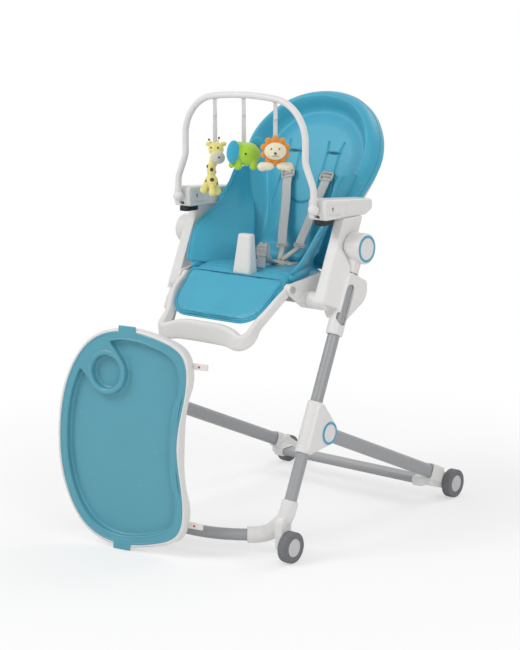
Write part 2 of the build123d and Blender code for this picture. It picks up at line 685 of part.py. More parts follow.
# Seat carriages: an upright to the armrest, a sleeve on the leg and a barrel for the cross tube
BUTTON_X = (BULGE_IN_X + BULGE_OUT_X) / 2
BUTTON_PLANE = Plane(
    origin=(BUTTON_X, *leg_yz(BULGE_ALONG, BULGE_BEHIND + BULGE_R)),
    x_dir=(1, 0, 0),
    z_dir=(0, LEG_COS, -LEG_SIN),
)
BUTTON_SUNK = BUTTON_DEPTH - BUTTON_PROUD
FLARE_PLANE = Plane(
    origin=(LEG_X + SLEEVE_R, *leg_yz(SLEEVE_HIGH)),
    z_dir=(
        FLARE_RISE,
        (LEG_X + SLEEVE_R - CARRIAGE_OUT_X) * LEG_SIN,
        (LEG_X + SLEEVE_R - CARRIAGE_OUT_X) * LEG_COS,
    ),
)
with BuildPart() as carriage:
    with BuildSketch(leg_side(BULGE_IN_X)):
        with Locations((BULGE_BEHIND, BULGE_ALONG)):
            Circle(BULGE_R)
        with Locations((0, SLEEVE_HIGH - SLEEVE_R), (0, BLOCK_LOW)):
            Circle(SLEEVE_R)
        make_hull()
    extrude(amount=BULGE_OUT_X - BULGE_IN_X)
    split(bisect_by=leg_cross(SLEEVE_HIGH), keep=Keep.BOTTOM)
    with BuildSketch(leg_cross(BLOCK_LOW)):
        Circle(SLEEVE_R)
        with Locations((CARRIAGE_OUT_X - LEG_X, CARRIAGE_FRONT)):
            Rectangle(
                CARRIAGE_OUT_X - CARRIAGE_IN_X,
                CARRIAGE_BACK - CARRIAGE_FRONT,
                align=(Align.MAX, Align.MIN),
            )
        make_hull()
    extrude(amount=SLEEVE_HIGH + FLARE_RISE - BLOCK_LOW)
    split(bisect_by=FLARE_PLANE, keep=Keep.BOTTOM)
    with BuildSketch(leg_side(CARRIAGE_IN_X)):
        with Locations((CARRIAGE_FRONT, BLOCK_LOW)):
            Rectangle(
                CARRIAGE_BACK - CARRIAGE_FRONT,
                LEG_HIGH + HUB_OD * 2 - BLOCK_LOW,
                align=(Align.MIN, Align.MIN),
            )
    extrude(amount=CARRIAGE_OUT_X - CARRIAGE_IN_X)
    split(bisect_by=Plane.XY.offset(ARM_UNDER_Z), keep=Keep.BOTTOM)
    with BuildSketch(leg_cross(SLEEVE_LOW)):
        Circle(SLEEVE_R)
    extrude(amount=SLEEVE_HIGH - SLEEVE_LOW)
    with BuildSketch(side(BARREL_IN_X)):
        with Locations(SEAT_TUBE_YZ):
            Circle(BARREL_R)
    extrude(amount=CARRIAGE_OUT_X - BARREL_IN_X)
    with BuildSketch(leg_cross(SLEEVE_LOW)):
        Circle(LEG_OD / 2 + RUN_FIT)
    extrude(amount=HUB_ALONG - SLEEVE_LOW, mode=Mode.SUBTRACT)
    with BuildSketch(leg_cross(SLEEVE_HIGH)):
        Circle(HUB_SLEEVE_OD / 2 + FLARE_ROOM)
    extrude(amount=HUB_ALONG - SLEEVE_HIGH + SEAT_TRAVEL, mode=Mode.SUBTRACT)
    with BuildSketch(side(HUB_X - FLARE_ROOM)):
        with Locations(HUB_YZ):
            Circle(HUB_OD / 2 + FLARE_ROOM)
    extrude(amount=HUB_LENGTH, mode=Mode.SUBTRACT)
    with BuildSketch(leg_side(LEG_X)):
        with Locations((WINDOW_BEHIND, WINDOW_ALONG)):
            SlotOverall(WINDOW_LENGTH, WINDOW_WIDTH, rotation=90)
    extrude(amount=SLEEVE_R * 2, mode=Mode.SUBTRACT)
    with BuildSketch(side(BARREL_IN_X)):
        with Locations(SEAT_TUBE_YZ):
            Circle(SEAT_TUBE_OD / 2 + SOCKET_FIT)
    extrude(amount=CARRIAGE_IN_X - BARREL_IN_X, mode=Mode.SUBTRACT)
    with BuildSketch(BUTTON_PLANE.offset(-BUTTON_SUNK - BUTTON_TRAVEL - FACE_GAP)):
        RectangleRounded(BUTTON_WIDTH + 2 * FACE_GAP, BUTTON_HEIGHT + 2 * FACE_GAP, BUTTON_ROUND)
    extrude(amount=BUTTON_DEPTH * 2, mode=Mode.SUBTRACT)
save_pair(carriage, "carriage")

with BuildPart() as height_button:
    with BuildSketch(BUTTON_PLANE.offset(-BUTTON_SUNK)):
        RectangleRounded(BUTTON_WIDTH, BUTTON_HEIGHT, BUTTON_ROUND)
    extrude(amount=BUTTON_DEPTH)
save_pair(height_button, "height_button")

with BuildPart() as seat_cross_tube:
    with BuildSketch(side(-CARRIAGE_IN_X)):
        with Locations(SEAT_TUBE_YZ):
            Circle(SEAT_TUBE_OD / 2)
            Circle(SEAT_TUBE_OD / 2 - SEAT_TUBE_WALL, mode=Mode.SUBTRACT)
    extrude(amount=2 * CARRIAGE_IN_X)
save(seat_cross_tube, "seat_cross_tube")

# Armrests: a tray socket in the front, a cup for the arch ball, a recessed panel on each face
ARM_IN_X = ARM_X - ARM_WIDTH / 2
ARM_OUT_X = ARM_X + ARM_WIDTH / 2
ARCH_BALL = (ARCH_BALL_X, ARCH_Y, ARCH_BALL_Z)
LATCH_NECK_W = LATCH_WIDTH / 3
LATCH_NECK_L = LATCH_LENGTH / 3
LATCH_NECK_H = TRAY_SOCKET_Z - TRAY_SOCKET_H / 2 - ARM_UNDER_Z
with BuildPart() as armrest:
    with BuildSketch(side(ARM_IN_X)):
        with BuildLine():
            FilletPolyline(
                (ARM_FRONT_Y, ARM_UNDER_Z),
                (ARM_REAR_Y - ARM_END_RISE * 2, ARM_UNDER_Z),
                (ARM_REAR_Y, ARM_UNDER_Z + ARM_END_RISE),
                (ARM_REAR_Y, ARM_REAR_TOP),
                (ARM_FRONT_Y, ARM_FRONT_TOP),
                radius=ARM_CORNER,
                close=True,
            )
        make_face()
    extrude(amount=ARM_WIDTH)
    fillet(armrest.faces().filter_by(Axis.X).edges(), radius=ARM_EDGE)
    for panel_x in (ARM_IN_X, ARM_OUT_X - PANEL_DEPTH):
        with BuildSketch(side(panel_x)):
            with BuildLine():
                FilletPolyline(
                    (ARM_FRONT_Y + PANEL_INSET, ARM_UNDER_Z + PANEL_INSET),
                    (ARM_FRONT_Y + PANEL_INSET + PANEL_LENGTH, ARM_UNDER_Z + PANEL_INSET / 2),
                    (ARM_FRONT_Y + PANEL_INSET + PANEL_LENGTH, ARM_REAR_TOP - PANEL_INSET / 2),
                    (ARM_FRONT_Y + PANEL_INSET, ARM_REAR_TOP),
                    radius=PANEL_INSET / 3,
                    close=True,
                )
            make_face()
        extrude(amount=PANEL_DEPTH, mode=Mode.SUBTRACT)
    with Locations(ARCH_BALL):
        Sphere(ARCH_BALL_R + RUN_FIT, mode=Mode.SUBTRACT)
    with BuildSketch(Plane.XZ.offset(-ARM_FRONT_Y)):
        with Locations((ARM_X, TRAY_SOCKET_Z)):
            Rectangle(TRAY_SOCKET_W, TRAY_SOCKET_H)
    extrude(amount=-TRAY_SOCKET_DEPTH, mode=Mode.SUBTRACT)
    with BuildSketch(Plane.XY.offset(ARM_UNDER_Z)):
        with Locations((ARM_X, LATCH_Y + LATCH_TRAVEL / 2)):
            Rectangle(LATCH_NECK_W + 2 * FACE_GAP, LATCH_NECK_L + LATCH_TRAVEL + 2 * FACE_GAP)
    extrude(amount=LATCH_NECK_H, mode=Mode.SUBTRACT)
save_pair(armrest, "armrest")

# Tray latch levers: a thumb pad under the armrest with a neck that runs in its slot
with BuildPart() as tray_latch:
    with BuildSketch(Plane.XY.offset(ARM_UNDER_Z - FACE_GAP)):
        with Locations((ARM_X, LATCH_Y)):
            RectangleRounded(LATCH_WIDTH, LATCH_LENGTH, LATCH_WIDTH / 4)
    extrude(amount=-LATCH_HEIGHT)
    with BuildSketch(Plane.XY.offset(ARM_UNDER_Z - FACE_GAP)):
        with Locations((ARM_X, LATCH_Y)):
            Rectangle(LATCH_NECK_W, LATCH_NECK_L)
    extrude(amount=LATCH_NECK_H)
save_pair(tray_latch, "tray_latch")

# Seat shell: a pan with side walls, saddles on the cross tube and stub pins for the backrest
FOOT_HINGE = (FOOT_HINGE_Y, FOOT_HINGE_Z)
HINGE = (HINGE_Y, HINGE_Z)
with BuildPart() as seat_shell:
    with BuildSketch(Plane.XY.offset(SHELL_Z)):
        with Locations((0, (SHELL_FRONT_Y + SHELL_REAR_Y) / 2)):
            Rectangle(2 * SHELL_HALF, SHELL_REAR_Y - SHELL_FRONT_Y)
    extrude(amount=SHELL_WALL)
    with BuildSketch(side(SHELL_HALF)):
        with Locations(FOOT_HINGE):
            Circle(FOOT_ARM_W / 2 + SHELL_WALL / 2)
        with Locations(HINGE):
            Circle(EAR_R + SHELL_WALL / 2)
        with Locations((SHELL_REAR_Y - SHELL_WALL, SHELL_Z + SHELL_WALL)):
            Circle(SHELL_WALL)
        with Locations(SEAT_TUBE_YZ):
            Circle(BARREL_R)
        make_hull()
    extrude(amount=SHELL_WALL)
    with BuildSketch(side(SHELL_HALF)):
        with Locations(SEAT_TUBE_YZ):
            Circle(BARREL_R)
    extrude(amount=BARREL_IN_X - SHELL_HALF)
    with BuildSketch(side(SHELL_HALF)):
        with Locations(HINGE):
            Circle(HINGE_PIN_R)
    extrude(amount=-EAR_T - FACE_GAP)
    mirror(about=Plane.YZ)
    with BuildSketch(side(-CARRIAGE_IN_X)):
        with Locations(SEAT_TUBE_YZ):
            Circle(SEAT_TUBE_OD / 2 + SOCKET_FIT)
    extrude(amount=2 * CARRIAGE_IN_X, mode=Mode.SUBTRACT)
    with BuildSketch(side(-SHELL_HALF - SHELL_WALL)):
        with Locations(FOOT_HINGE):
            Circle(FOOT_PIN_R + SOCKET_FIT)
    extrude(amount=2 * (SHELL_HALF + SHELL_WALL), mode=Mode.SUBTRACT)
save(seat_shell, "seat_shell")

# Crotch post, tapered towards its rounded top
with BuildPart() as crotch_post:
    with BuildSketch(Plane.XY.offset(SHELL_TOP)):
        with Locations((0, POST_REAR_Y - POST_BASE_D / 2)):
            RectangleRounded(POST_BASE_W, POST_BASE_D, POST_ROUND)
    with BuildSketch(Plane.XY.offset(SHELL_TOP + POST_HEIGHT)):
        with Locations((0, POST_REAR_Y - POST_TOP_D / 2)):
            RectangleRounded(POST_TOP_W, POST_TOP_D, POST_ROUND)
    loft()
    fillet(crotch_post.faces().sort_by(Axis.Z)[-1].edges(), radius=POST_ROUND / 2)
save(crotch_post, "crotch_post")

# Seat cushion: drawn in at the bottom, full at the waist, crowned on top, with a sewn channel
CUSHION_Y = (CUSHION_FRONT_Y + CUSHION_REAR_Y) / 2
CUSHION_LENGTH = CUSHION_REAR_Y - CUSHION_FRONT_Y
with BuildPart() as seat_cushion:
    for share, draw in ((0.0, 1.0), (0.45, 0.0), (0.85, 0.8), (1.0, 2.6)):
        with BuildSketch(Plane.XY.offset(SHELL_TOP + CUSHION_T * share)):
            with Locations((0, CUSHION_Y)):
                RectangleRounded(
                    2 * (CUSHION_HALF - CUSHION_DRAW * draw),
                    CUSHION_LENGTH - 2 * CUSHION_DRAW * draw,
                    CUSHION_ROUND,
                )
    loft()
    with BuildSketch(side(-CUSHION_HALF)):
        with Locations((CUSHION_CHANNEL_Y, CUSHION_TOP + CUSHION_CHANNEL_R / 2)):
            Circle(CUSHION_CHANNEL_R)
    extrude(amount=2 * CUSHION_HALF, mode=Mode.SUBTRACT)
    add(crotch_post.part, mode=Mode.SUBTRACT)
save(seat_cushion, "seat_cushion")

# Side wings of the cover: padded panels that rise from the seat's sides towards the back
with BuildPart() as side_wings:
    for rise, front_out, front_y, rear_out, rear_y in WING_RUNS:
        with BuildSketch(
            Plane(
                origin=(
                    SHELL_HALF + (front_out + rear_out) / 2,
                    (front_y + rear_y) / 2,
                    SHELL_Z + rise,
                ),
                x_dir=(rear_out - front_out, rear_y - front_y, 0),
                z_dir=(0, 0, 1),
            )
        ):
            RectangleRounded(
                hypot(rear_out - front_out, rear_y - front_y), WING_T, PLUSH_ROUND * WING_T
            )
    loft()
    add(seat_cushion.part, mode=Mode.SUBTRACT)
    mirror(about=Plane.YZ)
save(side_wings, "side_wings")

# Waist belt: a buckle on the seat with webbing to both sides
with BuildPart() as waist_belt:
    with BuildSketch(Plane.XY.offset(CUSHION_TOP + FACE_GAP)):
        with Locations((0, BELT_Y)):
            Rectangle(2 * BELT_HALF, BELT_WIDTH)
    extrude(amount=BELT_T)
    with BuildSketch(Plane.XY.offset(CUSHION_TOP + FACE_GAP)):
        with Locations((BUCKLE_X, BELT_Y)):
            RectangleRounded(BUCKLE_LENGTH, BUCKLE_WIDTH, BUCKLE_T / 2)
    extrude(amount=BUCKLE_T)
    add(seat_cushion.part, mode=Mode.SUBTRACT)
save(waist_belt, "waist_belt")

# Backrest
BACK_SIN = sin(radians(BACK_TILT))
BACK_COS = cos(radians(BACK_TILT))
BACK_PLANE = Plane(
    origin=(0, BACK_Y, BACK_Z), x_dir=(1, 0, 0), z_dir=(0, -BACK_COS, BACK_SIN)
)


def back_yz(up, front):
    """Y and Z of a point up the back from the strap slots and in front of the back surface."""
    return (BACK_Y + up * BACK_SIN - front * BACK_COS, BACK_Z + up * BACK_COS + front * BACK_SIN)


def back_side(x):
    """Side plane set along the back: local x runs up it, local y points forward."""
    return Plane(origin=(x, BACK_Y, BACK_Z), x_dir=(0, BACK_SIN, BACK_COS), z_dir=(1, 0, 0))


def egg_outline(inset=0.0):
    """Outline of the back, widest beside the head, drawn in by an even amount."""
    half = BACK_HALF - inset
    foot = (BACK_FOOT_HALF - inset, BACK_BOTTOM + inset)
    with BuildSketch() as egg:
        with BuildLine():
            Spline(
                (0, BACK_TOP - inset),
                (half * EGG_SHOULDER, BACK_TOP - inset - BACK_SHOULDER_DROP),
                (half, 0),
                (BACK_WAIST_HALF - inset, BACK_WAIST),
                foot,
                tangents=((1, 0), (-FOOT_SLOPE, -1)),
            )
            Line(foot, (0, BACK_BOTTOM + inset))
            mirror(about=Plane.YZ)
        make_face()
    return egg.sketch


def strap_slots():
    """The four strap slots, two a side."""
    with Locations(
        *((sign * SLOT_X, -row * SLOT_STEP) for sign in (-1, 1) for row in (0, 1))
    ):
        SlotOverall(SLOT_LENGTH, SLOT_WIDTH)


with BuildPart() as back_cushion:
    with BuildSketch(BACK_PLANE.offset(-BACK_PAD_T)):
        add(egg_outline())
    extrude(amount=BACK_PAD_T + RIM_MID * 2)
    with BuildSketch(BACK_PLANE):
        add(egg_outline(RIM_WIDTH))
    extrude(amount=RIM_MID * 2, mode=Mode.SUBTRACT)
    with BuildSketch(back_side(-BACK_HALF)):
        with BuildLine():
            Spline(
                (BACK_TOP + RIM_WIDTH, RIM_TOP),
                (0, RIM_MID),
                (BACK_WAIST, RIM_WAIST),
                (BACK_BOTTOM - RIM_WIDTH, RIM_LOW),
            )
            Polyline(
                (BACK_BOTTOM - RIM_WIDTH, RIM_LOW),
                (BACK_BOTTOM - RIM_WIDTH, RIM_MID * 3),
                (BACK_TOP + RIM_WIDTH, RIM_MID * 3),
                (BACK_TOP + RIM_WIDTH, RIM_TOP),
            )
        make_face()
    extrude(amount=2 * BACK_HALF, mode=Mode.SUBTRACT)
    for crown, inset in ((0.0, RIM_WIDTH), (0.6, RIM_WIDTH * 1.3), (1.0, RIM_WIDTH * 2.4)):
        with BuildSketch(BACK_PLANE.offset(BACK_CROWN * crown)):
            add(egg_outline(inset))
    loft()
    with BuildSketch(BACK_PLANE.offset(-BACK_PAD_T)):
        strap_slots()
    extrude(amount=BACK_PAD_T * 3, mode=Mode.SUBTRACT)
    with BuildSketch(back_side(-SLOT_X * 2)):
        with Locations((SLOT_STEP, BACK_CROWN), (-2 * SLOT_STEP, BACK_CROWN)):
            Circle(CHANNEL_R)
    extrude(amount=4 * SLOT_X, mode=Mode.SUBTRACT)
save(back_cushion, "back_cushion")

# Back shell: a moulded plate behind the cushion, with ears that turn on the seat shell's pins
EAR_OUT_X = SHELL_HALF - FACE_GAP
with BuildPart() as back_shell:
    with BuildSketch(BACK_PLANE.offset(-BACK_PAD_T - BACK_SHELL_T)):
        add(egg_outline(BACK_SHELL_INSET))
        with Locations((0, BACK_BOTTOM + EAR_R)):
            RectangleRounded(2 * EAR_OUT_X, 2 * EAR_R, EAR_R / 3)
    extrude(amount=BACK_SHELL_T)
    with BuildSketch(side(EAR_OUT_X - EAR_T)):
        with Locations(HINGE):
            Circle(EAR_R)
        with Locations(back_yz(BACK_BOTTOM + EAR_R, -BACK_PAD_T - BACK_SHELL_T / 2)):
            Circle(BACK_SHELL_T / 2)
        with Locations(back_yz(BACK_BOTTOM + EAR_R * 1.6, -BACK_PAD_T - BACK_SHELL_T / 2)):
            Circle(BACK_SHELL_T / 2)
        make_hull()
    extrude(amount=EAR_T)
    with BuildSketch(side(EAR_OUT_X - EAR_T)):
        with Locations(HINGE):
            Circle(HINGE_PIN_R + RUN_FIT)
    extrude(amount=EAR_T, mode=Mode.SUBTRACT)
    mirror(about=Plane.YZ)
    with BuildSketch(BACK_PLANE.offset(-BACK_PAD_T - BACK_SHELL_T)):
        strap_slots()
        with Locations((0, HANDLE_UP + HANDLE_TRAVEL / 2)):
            Rectangle(HANDLE_NECK + 2 * FACE_GAP, HANDLE_NECK + HANDLE_TRAVEL + 2 * FACE_GAP)
    extrude(amount=BACK_SHELL_T, mode=Mode.SUBTRACT)
save(back_shell, "back_shell")

# Recline handle: a grip behind the back that lifts in a slot of the shell
with BuildPart() as recline_handle:
    with BuildSketch(BACK_PLANE.offset(-BACK_PAD_T - BACK_SHELL_T - FACE_GAP)):
        with Locations((0, HANDLE_UP)):
            RectangleRounded(HANDLE_LENGTH, HANDLE_HEIGHT, HANDLE_HEIGHT / 3)
    extrude(amount=-HANDLE_T)
    with BuildSketch(BACK_PLANE.offset(-BACK_PAD_T - BACK_SHELL_T - FACE_GAP)):
        with Locations((0, HANDLE_UP)):
            Rectangle(HANDLE_NECK, HANDLE_NECK)
    extrude(amount=BACK_SHELL_T)
save(recline_handle, "recline_handle")

# Shoulder straps: webbing from the lower slots down to the seat
with BuildPart() as shoulder_straps:
    for slot_x, low_x in zip((SLOT_X, -SLOT_X), STRAP_LOW_XS):
        with BuildLine() as strap_run:
            FilletPolyline(
                (slot_x, *back_yz(-SLOT_STEP, -BACK_PAD_T)),
                (slot_x, *back_yz(-SLOT_STEP, BACK_CROWN + STRAP_BEND)),
                (low_x, STRAP_LOW_Y, CUSHION_TOP + STRAP_LOW_RISE),
                radius=STRAP_BEND / 2,
            )
        start = Plane(origin=strap_run.wire() @ 0, x_dir=(1, 0, 0), z_dir=strap_run.wire() % 0)
        with BuildSketch(start) as webbing:
            Rectangle(STRAP_WIDTH, STRAP_T)
        sweep(webbing.sketch, path=strap_run.wire())
save(shoulder_straps, "shoulder_straps")

# Footrest: set out from its hinge, down along the arms and forward of them
FOOT_SIN = sin(radians(FOOT_TILT))
FOOT_COS = cos(radians(FOOT_TILT))


def foot_side(x):
    """Side plane set along the footrest: local x runs down the arm, local y points forward."""
    return Plane(
        origin=(x, FOOT_HINGE_Y, FOOT_HINGE_Z), x_dir=(0, -FOOT_SIN, -FOOT_COS), z_dir=(-1, 0, 0)
    )


FOOT_PLANE = Plane(
    origin=(0, FOOT_HINGE_Y, FOOT_HINGE_Z), x_dir=(1, 0, 0), z_dir=(0, -FOOT_COS, FOOT_SIN)
)
FOOT_ARM_OUT = SHELL_HALF - FACE_GAP
FOOT_ARM_IN = FOOT_ARM_OUT - FOOT_ARM_T
FOOT_BAR_HALF = FOOT_ARM_OUT - FOOT_BAR_INSET
FOOT_LIP_HALF = FOOT_BAR_HALF - FOOT_LIP_TAPER
FOOT_NOSE_G = FOOT_ARM_W / 2 + FOOT_BAR_RISE
with BuildPart() as foot_arm:
    with BuildSketch(foot_side(FOOT_ARM_OUT)):
        Circle(FOOT_ARM_W / 2)
        with Locations((FOOT_BAR_FACE + FOOT_ARM_W / 2, 0)):
            Circle(FOOT_ARM_W / 2)
        make_hull()
    extrude(amount=FOOT_ARM_T + FOOT_ARM_TOE_IN)
    with BuildSketch(FOOT_PLANE.offset(-FOOT_ARM_W)):
        with BuildLine():
            Polyline(
                (FOOT_ARM_IN, FOOT_ARM_W),
                (FOOT_ARM_OUT, FOOT_ARM_W),
                (FOOT_ARM_OUT, -FOOT_ARM_W),
                (FOOT_ARM_OUT - FOOT_ARM_TOE_IN, -FOOT_BAR_NOSE),
                (FOOT_ARM_IN - FOOT_ARM_TOE_IN, -FOOT_BAR_NOSE),
                (FOOT_ARM_IN, -FOOT_ARM_W),
                close=True,
            )
        make_face()
    extrude(amount=2 * FOOT_ARM_W, mode=Mode.INTERSECT)
with BuildPart() as footrest_frame:
    with BuildSketch(foot_side(FOOT_BAR_HALF)):
        with BuildLine():
            FilletPolyline(
                (FOOT_BAR_FACE, FOOT_ARM_W / 2),
                (FOOT_BAR_NOSE, FOOT_NOSE_G),
                (FOOT_BAR_NOSE + FOOT_LIP_RUN, FOOT_NOSE_G - FOOT_LIP_DROP),
                (FOOT_BAR_NOSE + FOOT_LIP_RUN - FOOT_LIP_T, FOOT_NOSE_G - FOOT_LIP_DROP - FOOT_BAR_RISE),
                (FOOT_BAR_NOSE - FOOT_LIP_T, FOOT_NOSE_G - FOOT_BAR_T),
                (FOOT_BAR_FACE, -FOOT_ARM_W / 2),
                radius=FOOT_BAR_ROUND,
                close=True,
            )
        make_face()
    extrude(amount=FOOT_BAR_HALF)
    with BuildSketch(FOOT_PLANE.offset(-2 * FOOT_ARM_W)):
        with BuildLine():
            Polyline(
                (0, 0),
                (FOOT_BAR_HALF, 0),
                (FOOT_BAR_HALF, -FOOT_BAR_FACE),
                (FOOT_LIP_HALF, -FOOT_BAR_NOSE - FOOT_LIP_RUN),
                (0, -FOOT_BAR_NOSE - FOOT_LIP_RUN),
                close=True,
            )
        make_face()
    extrude(amount=4 * FOOT_ARM_W, mode=Mode.INTERSECT)
    add(foot_arm.part)
    with BuildSketch(FOOT_PLANE.offset(CALF_LOW - FOOT_PLATE_T)):
        with Locations((0, -FOOT_PLATE_START)):
            Rectangle(FOOT_ARM_IN, FOOT_PLATE_END - FOOT_PLATE_START, align=(Align.MIN, Align.MAX))
    extrude(amount=FOOT_PLATE_T)
    with BuildSketch(foot_side(FOOT_ARM_OUT)):
        Circle(FOOT_PIN_R + RUN_FIT)
    extrude(amount=FOOT_ARM_T, mode=Mode.SUBTRACT)
    mirror(about=Plane.YZ)
save(footrest_frame, "footrest_frame")

with BuildPart() as footrest_pins:
    with BuildSketch(side(FOOT_ARM_IN)):
        with Locations(FOOT_HINGE):
            Circle(FOOT_PIN_R)
    extrude(amount=SHELL_HALF + SHELL_WALL - FOOT_ARM_IN)
    with BuildSketch(side(SHELL_HALF + SHELL_WALL)):
        with Locations(FOOT_HINGE):
            Circle(FOOT_PIN_R * 2)
    extrude(amount=FOOT_PIN_R / 2)
    mirror(about=Plane.YZ)
save(footrest_pins, "footrest_pins")

# Calf pad: a crowned flap between the arms
CALF_TOP_HALF = FOOT_ARM_IN - CALF_ROOM
CALF_END_HALF = CALF_TOP_HALF - CALF_TAPER
with BuildPart() as calf_pad:
    for share, draw in ((0.0, 0.6), (0.4, 0.0), (0.8, 0.5), (1.0, 1.8)):
        inset = CALF_DRAW * draw
        with BuildSketch(FOOT_PLANE.offset(CALF_LOW + CALF_T * share)):
            with BuildLine():
                FilletPolyline(
                    (inset - CALF_TOP_HALF, -CALF_START - inset),
                    (inset - CALF_END_HALF, inset - CALF_END),
                    (CALF_END_HALF - inset, inset - CALF_END),
                    (CALF_TOP_HALF - inset, -CALF_START - inset),
                    radius=(
                        CALF_TOP_R - inset,
                        CALF_CORNER - inset,
                        CALF_CORNER - inset,
                        CALF_TOP_R - inset,
                    ),
                    close=True,
                )
            make_face()
    loft()
save(calf_pad, "calf_pad")

# Toy arch: one bent tube with a ball on each end
with BuildPart() as toy_arch:
    with BuildLine() as arch_run:
        FilletPolyline(
            (ARCH_BALL_X, ARCH_Y, ARCH_BALL_Z),
            (ARCH_BALL_X, ARCH_Y, ARCH_KNEE_LOW),
            (ARCH_NECK_X, ARCH_Y, ARCH_KNEE_HIGH),
            (ARCH_NECK_X, ARCH_Y, ARCH_SHOULDER_Z),
            (0, ARCH_Y, ARCH_TOP_Z),
            (-ARCH_NECK_X, ARCH_Y, ARCH_SHOULDER_Z),
            (-ARCH_NECK_X, ARCH_Y, ARCH_KNEE_HIGH),
            (-ARCH_BALL_X, ARCH_Y, ARCH_KNEE_LOW),
            (-ARCH_BALL_X, ARCH_Y, ARCH_BALL_Z),
            radius=(
                ARCH_KNEE_R,
                ARCH_KNEE_R,
                ARCH_SHOULDER_R,
                ARCH_CROWN_R,
                ARCH_SHOULDER_R,
                ARCH_KNEE_R,
                ARCH_KNEE_R,
            ),
        )
    with BuildSketch(Plane(origin=ARCH_BALL, z_dir=(0, 0, 1))):
        Circle(ARCH_OD / 2)
    sweep(path=arch_run.wire())
    with Locations(ARCH_BALL, (-ARCH_BALL_X, ARCH_Y, ARCH_BALL_Z)):
        Sphere(ARCH_BALL_R)
save(toy_arch, "toy_arch")


def arch_z(x):
    """Height of the arch's centre line on its crown."""
    lean = atan2(ARCH_TOP_Z - ARCH_SHOULDER_Z, ARCH_NECK_X)
    return ARCH_TOP_Z - ARCH_CROWN_R / cos(lean) + sqrt(ARCH_CROWN_R**2 - x**2)


def plush(plane, *sections):
    """A stuffed form through rounded sections: distance along the plane's normal, width, depth."""
    outlines = []
    for along, width, depth in sections:
        with BuildSketch(plane.offset(along)) as section:
            RectangleRounded(width, depth, PLUSH_ROUND * min(width, depth))
        outlines.append(section.sketch.face())
    loft(outlines)


def ribbon(x, low_z):
    """A loop round the arch with a band that hangs from it."""
    top = arch_z(x)
    inner = ARCH_OD / 2 + RIBBON_ROOM
    with BuildSketch(side(x - RIBBON_WIDTH / 2)) as band:
        with Locations((ARCH_Y, top)):
            Circle(inner + RIBBON_T)
        with Locations((ARCH_Y, (top + low_z) / 2)):
            Rectangle(RIBBON_T, top - low_z)
        with Locations((ARCH_Y, top)):
            Circle(inner, mode=Mode.SUBTRACT)
    extrude(band.sketch, amount=RIBBON_WIDTH)


# The toys hang turned about their ribbons
TOY_SIN = sin(radians(TOY_TURN))
TOY_COS = cos(radians(TOY_TURN))
TOY_ACROSS = (TOY_COS, TOY_SIN, 0)
TOY_BACK = (-TOY_SIN, TOY_COS, 0)
TOY_FACE = (TOY_SIN, -TOY_COS, 0)


def toy_point(hung_x, across, back, z):
    """A point of a toy, across it and behind its ribbon, at a height."""
    return (
        hung_x + across * TOY_COS - back * TOY_SIN,
        ARCH_Y + across * TOY_SIN + back * TOY_COS,
        z,
    )


def upright_at(hung_x, across, z, back=0.0):
    """Plane whose sections lie level, stacked upwards from a point of a toy."""
    return Plane(origin=toy_point(hung_x, across, back, z), x_dir=TOY_ACROSS, z_dir=(0, 0, 1))


def facing(hung_x, across, z, back=0.0):
    """Plane whose sections stand upright, stacked towards the toy's front from a point of it."""
    return Plane(origin=toy_point(hung_x, across, back, z), x_dir=TOY_ACROSS, z_dir=TOY_FACE)


# Giraffe: a long neck on a small body, a head with a muzzle, four legs
with BuildPart() as giraffe_body:
    plush(upright_at(GIRAFFE_X, *GIRAFFE_BODY_AT), *GIRAFFE_BODY)
save(giraffe_body, "giraffe_body")
with BuildPart() as giraffe_head:
    plush(facing(GIRAFFE_X, *GIRAFFE_HEAD_AT, GIRAFFE_HEAD_BEHIND), *GIRAFFE_HEAD)
    add(giraffe_body.part, mode=Mode.SUBTRACT)
save(giraffe_head, "giraffe_head")
with BuildPart() as giraffe_legs:
    for leg_across, leg_back in GIRAFFE_LEGS_AT:
        plush(upright_at(GIRAFFE_X, leg_across, GIRAFFE_LEG_Z, leg_back), *GIRAFFE_LEG)
    add(giraffe_body.part, mode=Mode.SUBTRACT)
save(giraffe_legs, "giraffe_legs")
with BuildPart() as giraffe_ribbon:
    ribbon(GIRAFFE_X, GIRAFFE_HEAD_AT[1])
    add(giraffe_head.part, mode=Mode.SUBTRACT)
save(giraffe_ribbon, "giraffe_ribbon")

# Elephant: a round body with its head and trunk, two large ears, four legs
with BuildPart() as elephant_body:
    plush(
        Plane(
            origin=toy_point(ELEPHANT_X, ELEPHANT_BODY_AT[0], 0, ELEPHANT_BODY_AT[1]),
            x_dir=TOY_BACK,
            z_dir=TOY_ACROSS,
        ),
        *ELEPHANT_BODY,
    )
save(elephant_body, "elephant_body")
with BuildPart() as elephant_legs:
    for leg_across, leg_back in ELEPHANT_LEGS_AT:
        plush(upright_at(ELEPHANT_X, leg_across, ELEPHANT_LEG_Z, leg_back), *ELEPHANT_LEG)
    add(elephant_body.part, mode=Mode.SUBTRACT)
save(elephant_legs, "elephant_legs")
with BuildPart() as elephant_ears:
    plush(facing(ELEPHANT_X, *NEAR_EAR_AT, -NEAR_EAR_FRONT), *NEAR_EAR)
    plush(facing(ELEPHANT_X, *FAR_EAR_AT, FAR_EAR_BEHIND), *FAR_EAR)
    add(elephant_body.part, mode=Mode.SUBTRACT)
    add(elephant_legs.part, mode=Mode.SUBTRACT)
save(elephant_ears, "elephant_ears")
with BuildPart() as elephant_ribbon:
    ribbon(ELEPHANT_X, ELEPHANT_BODY_AT[1])
    add(elephant_body.part, mode=Mode.SUBTRACT)
save(elephant_ribbon, "elephant_ribbon")

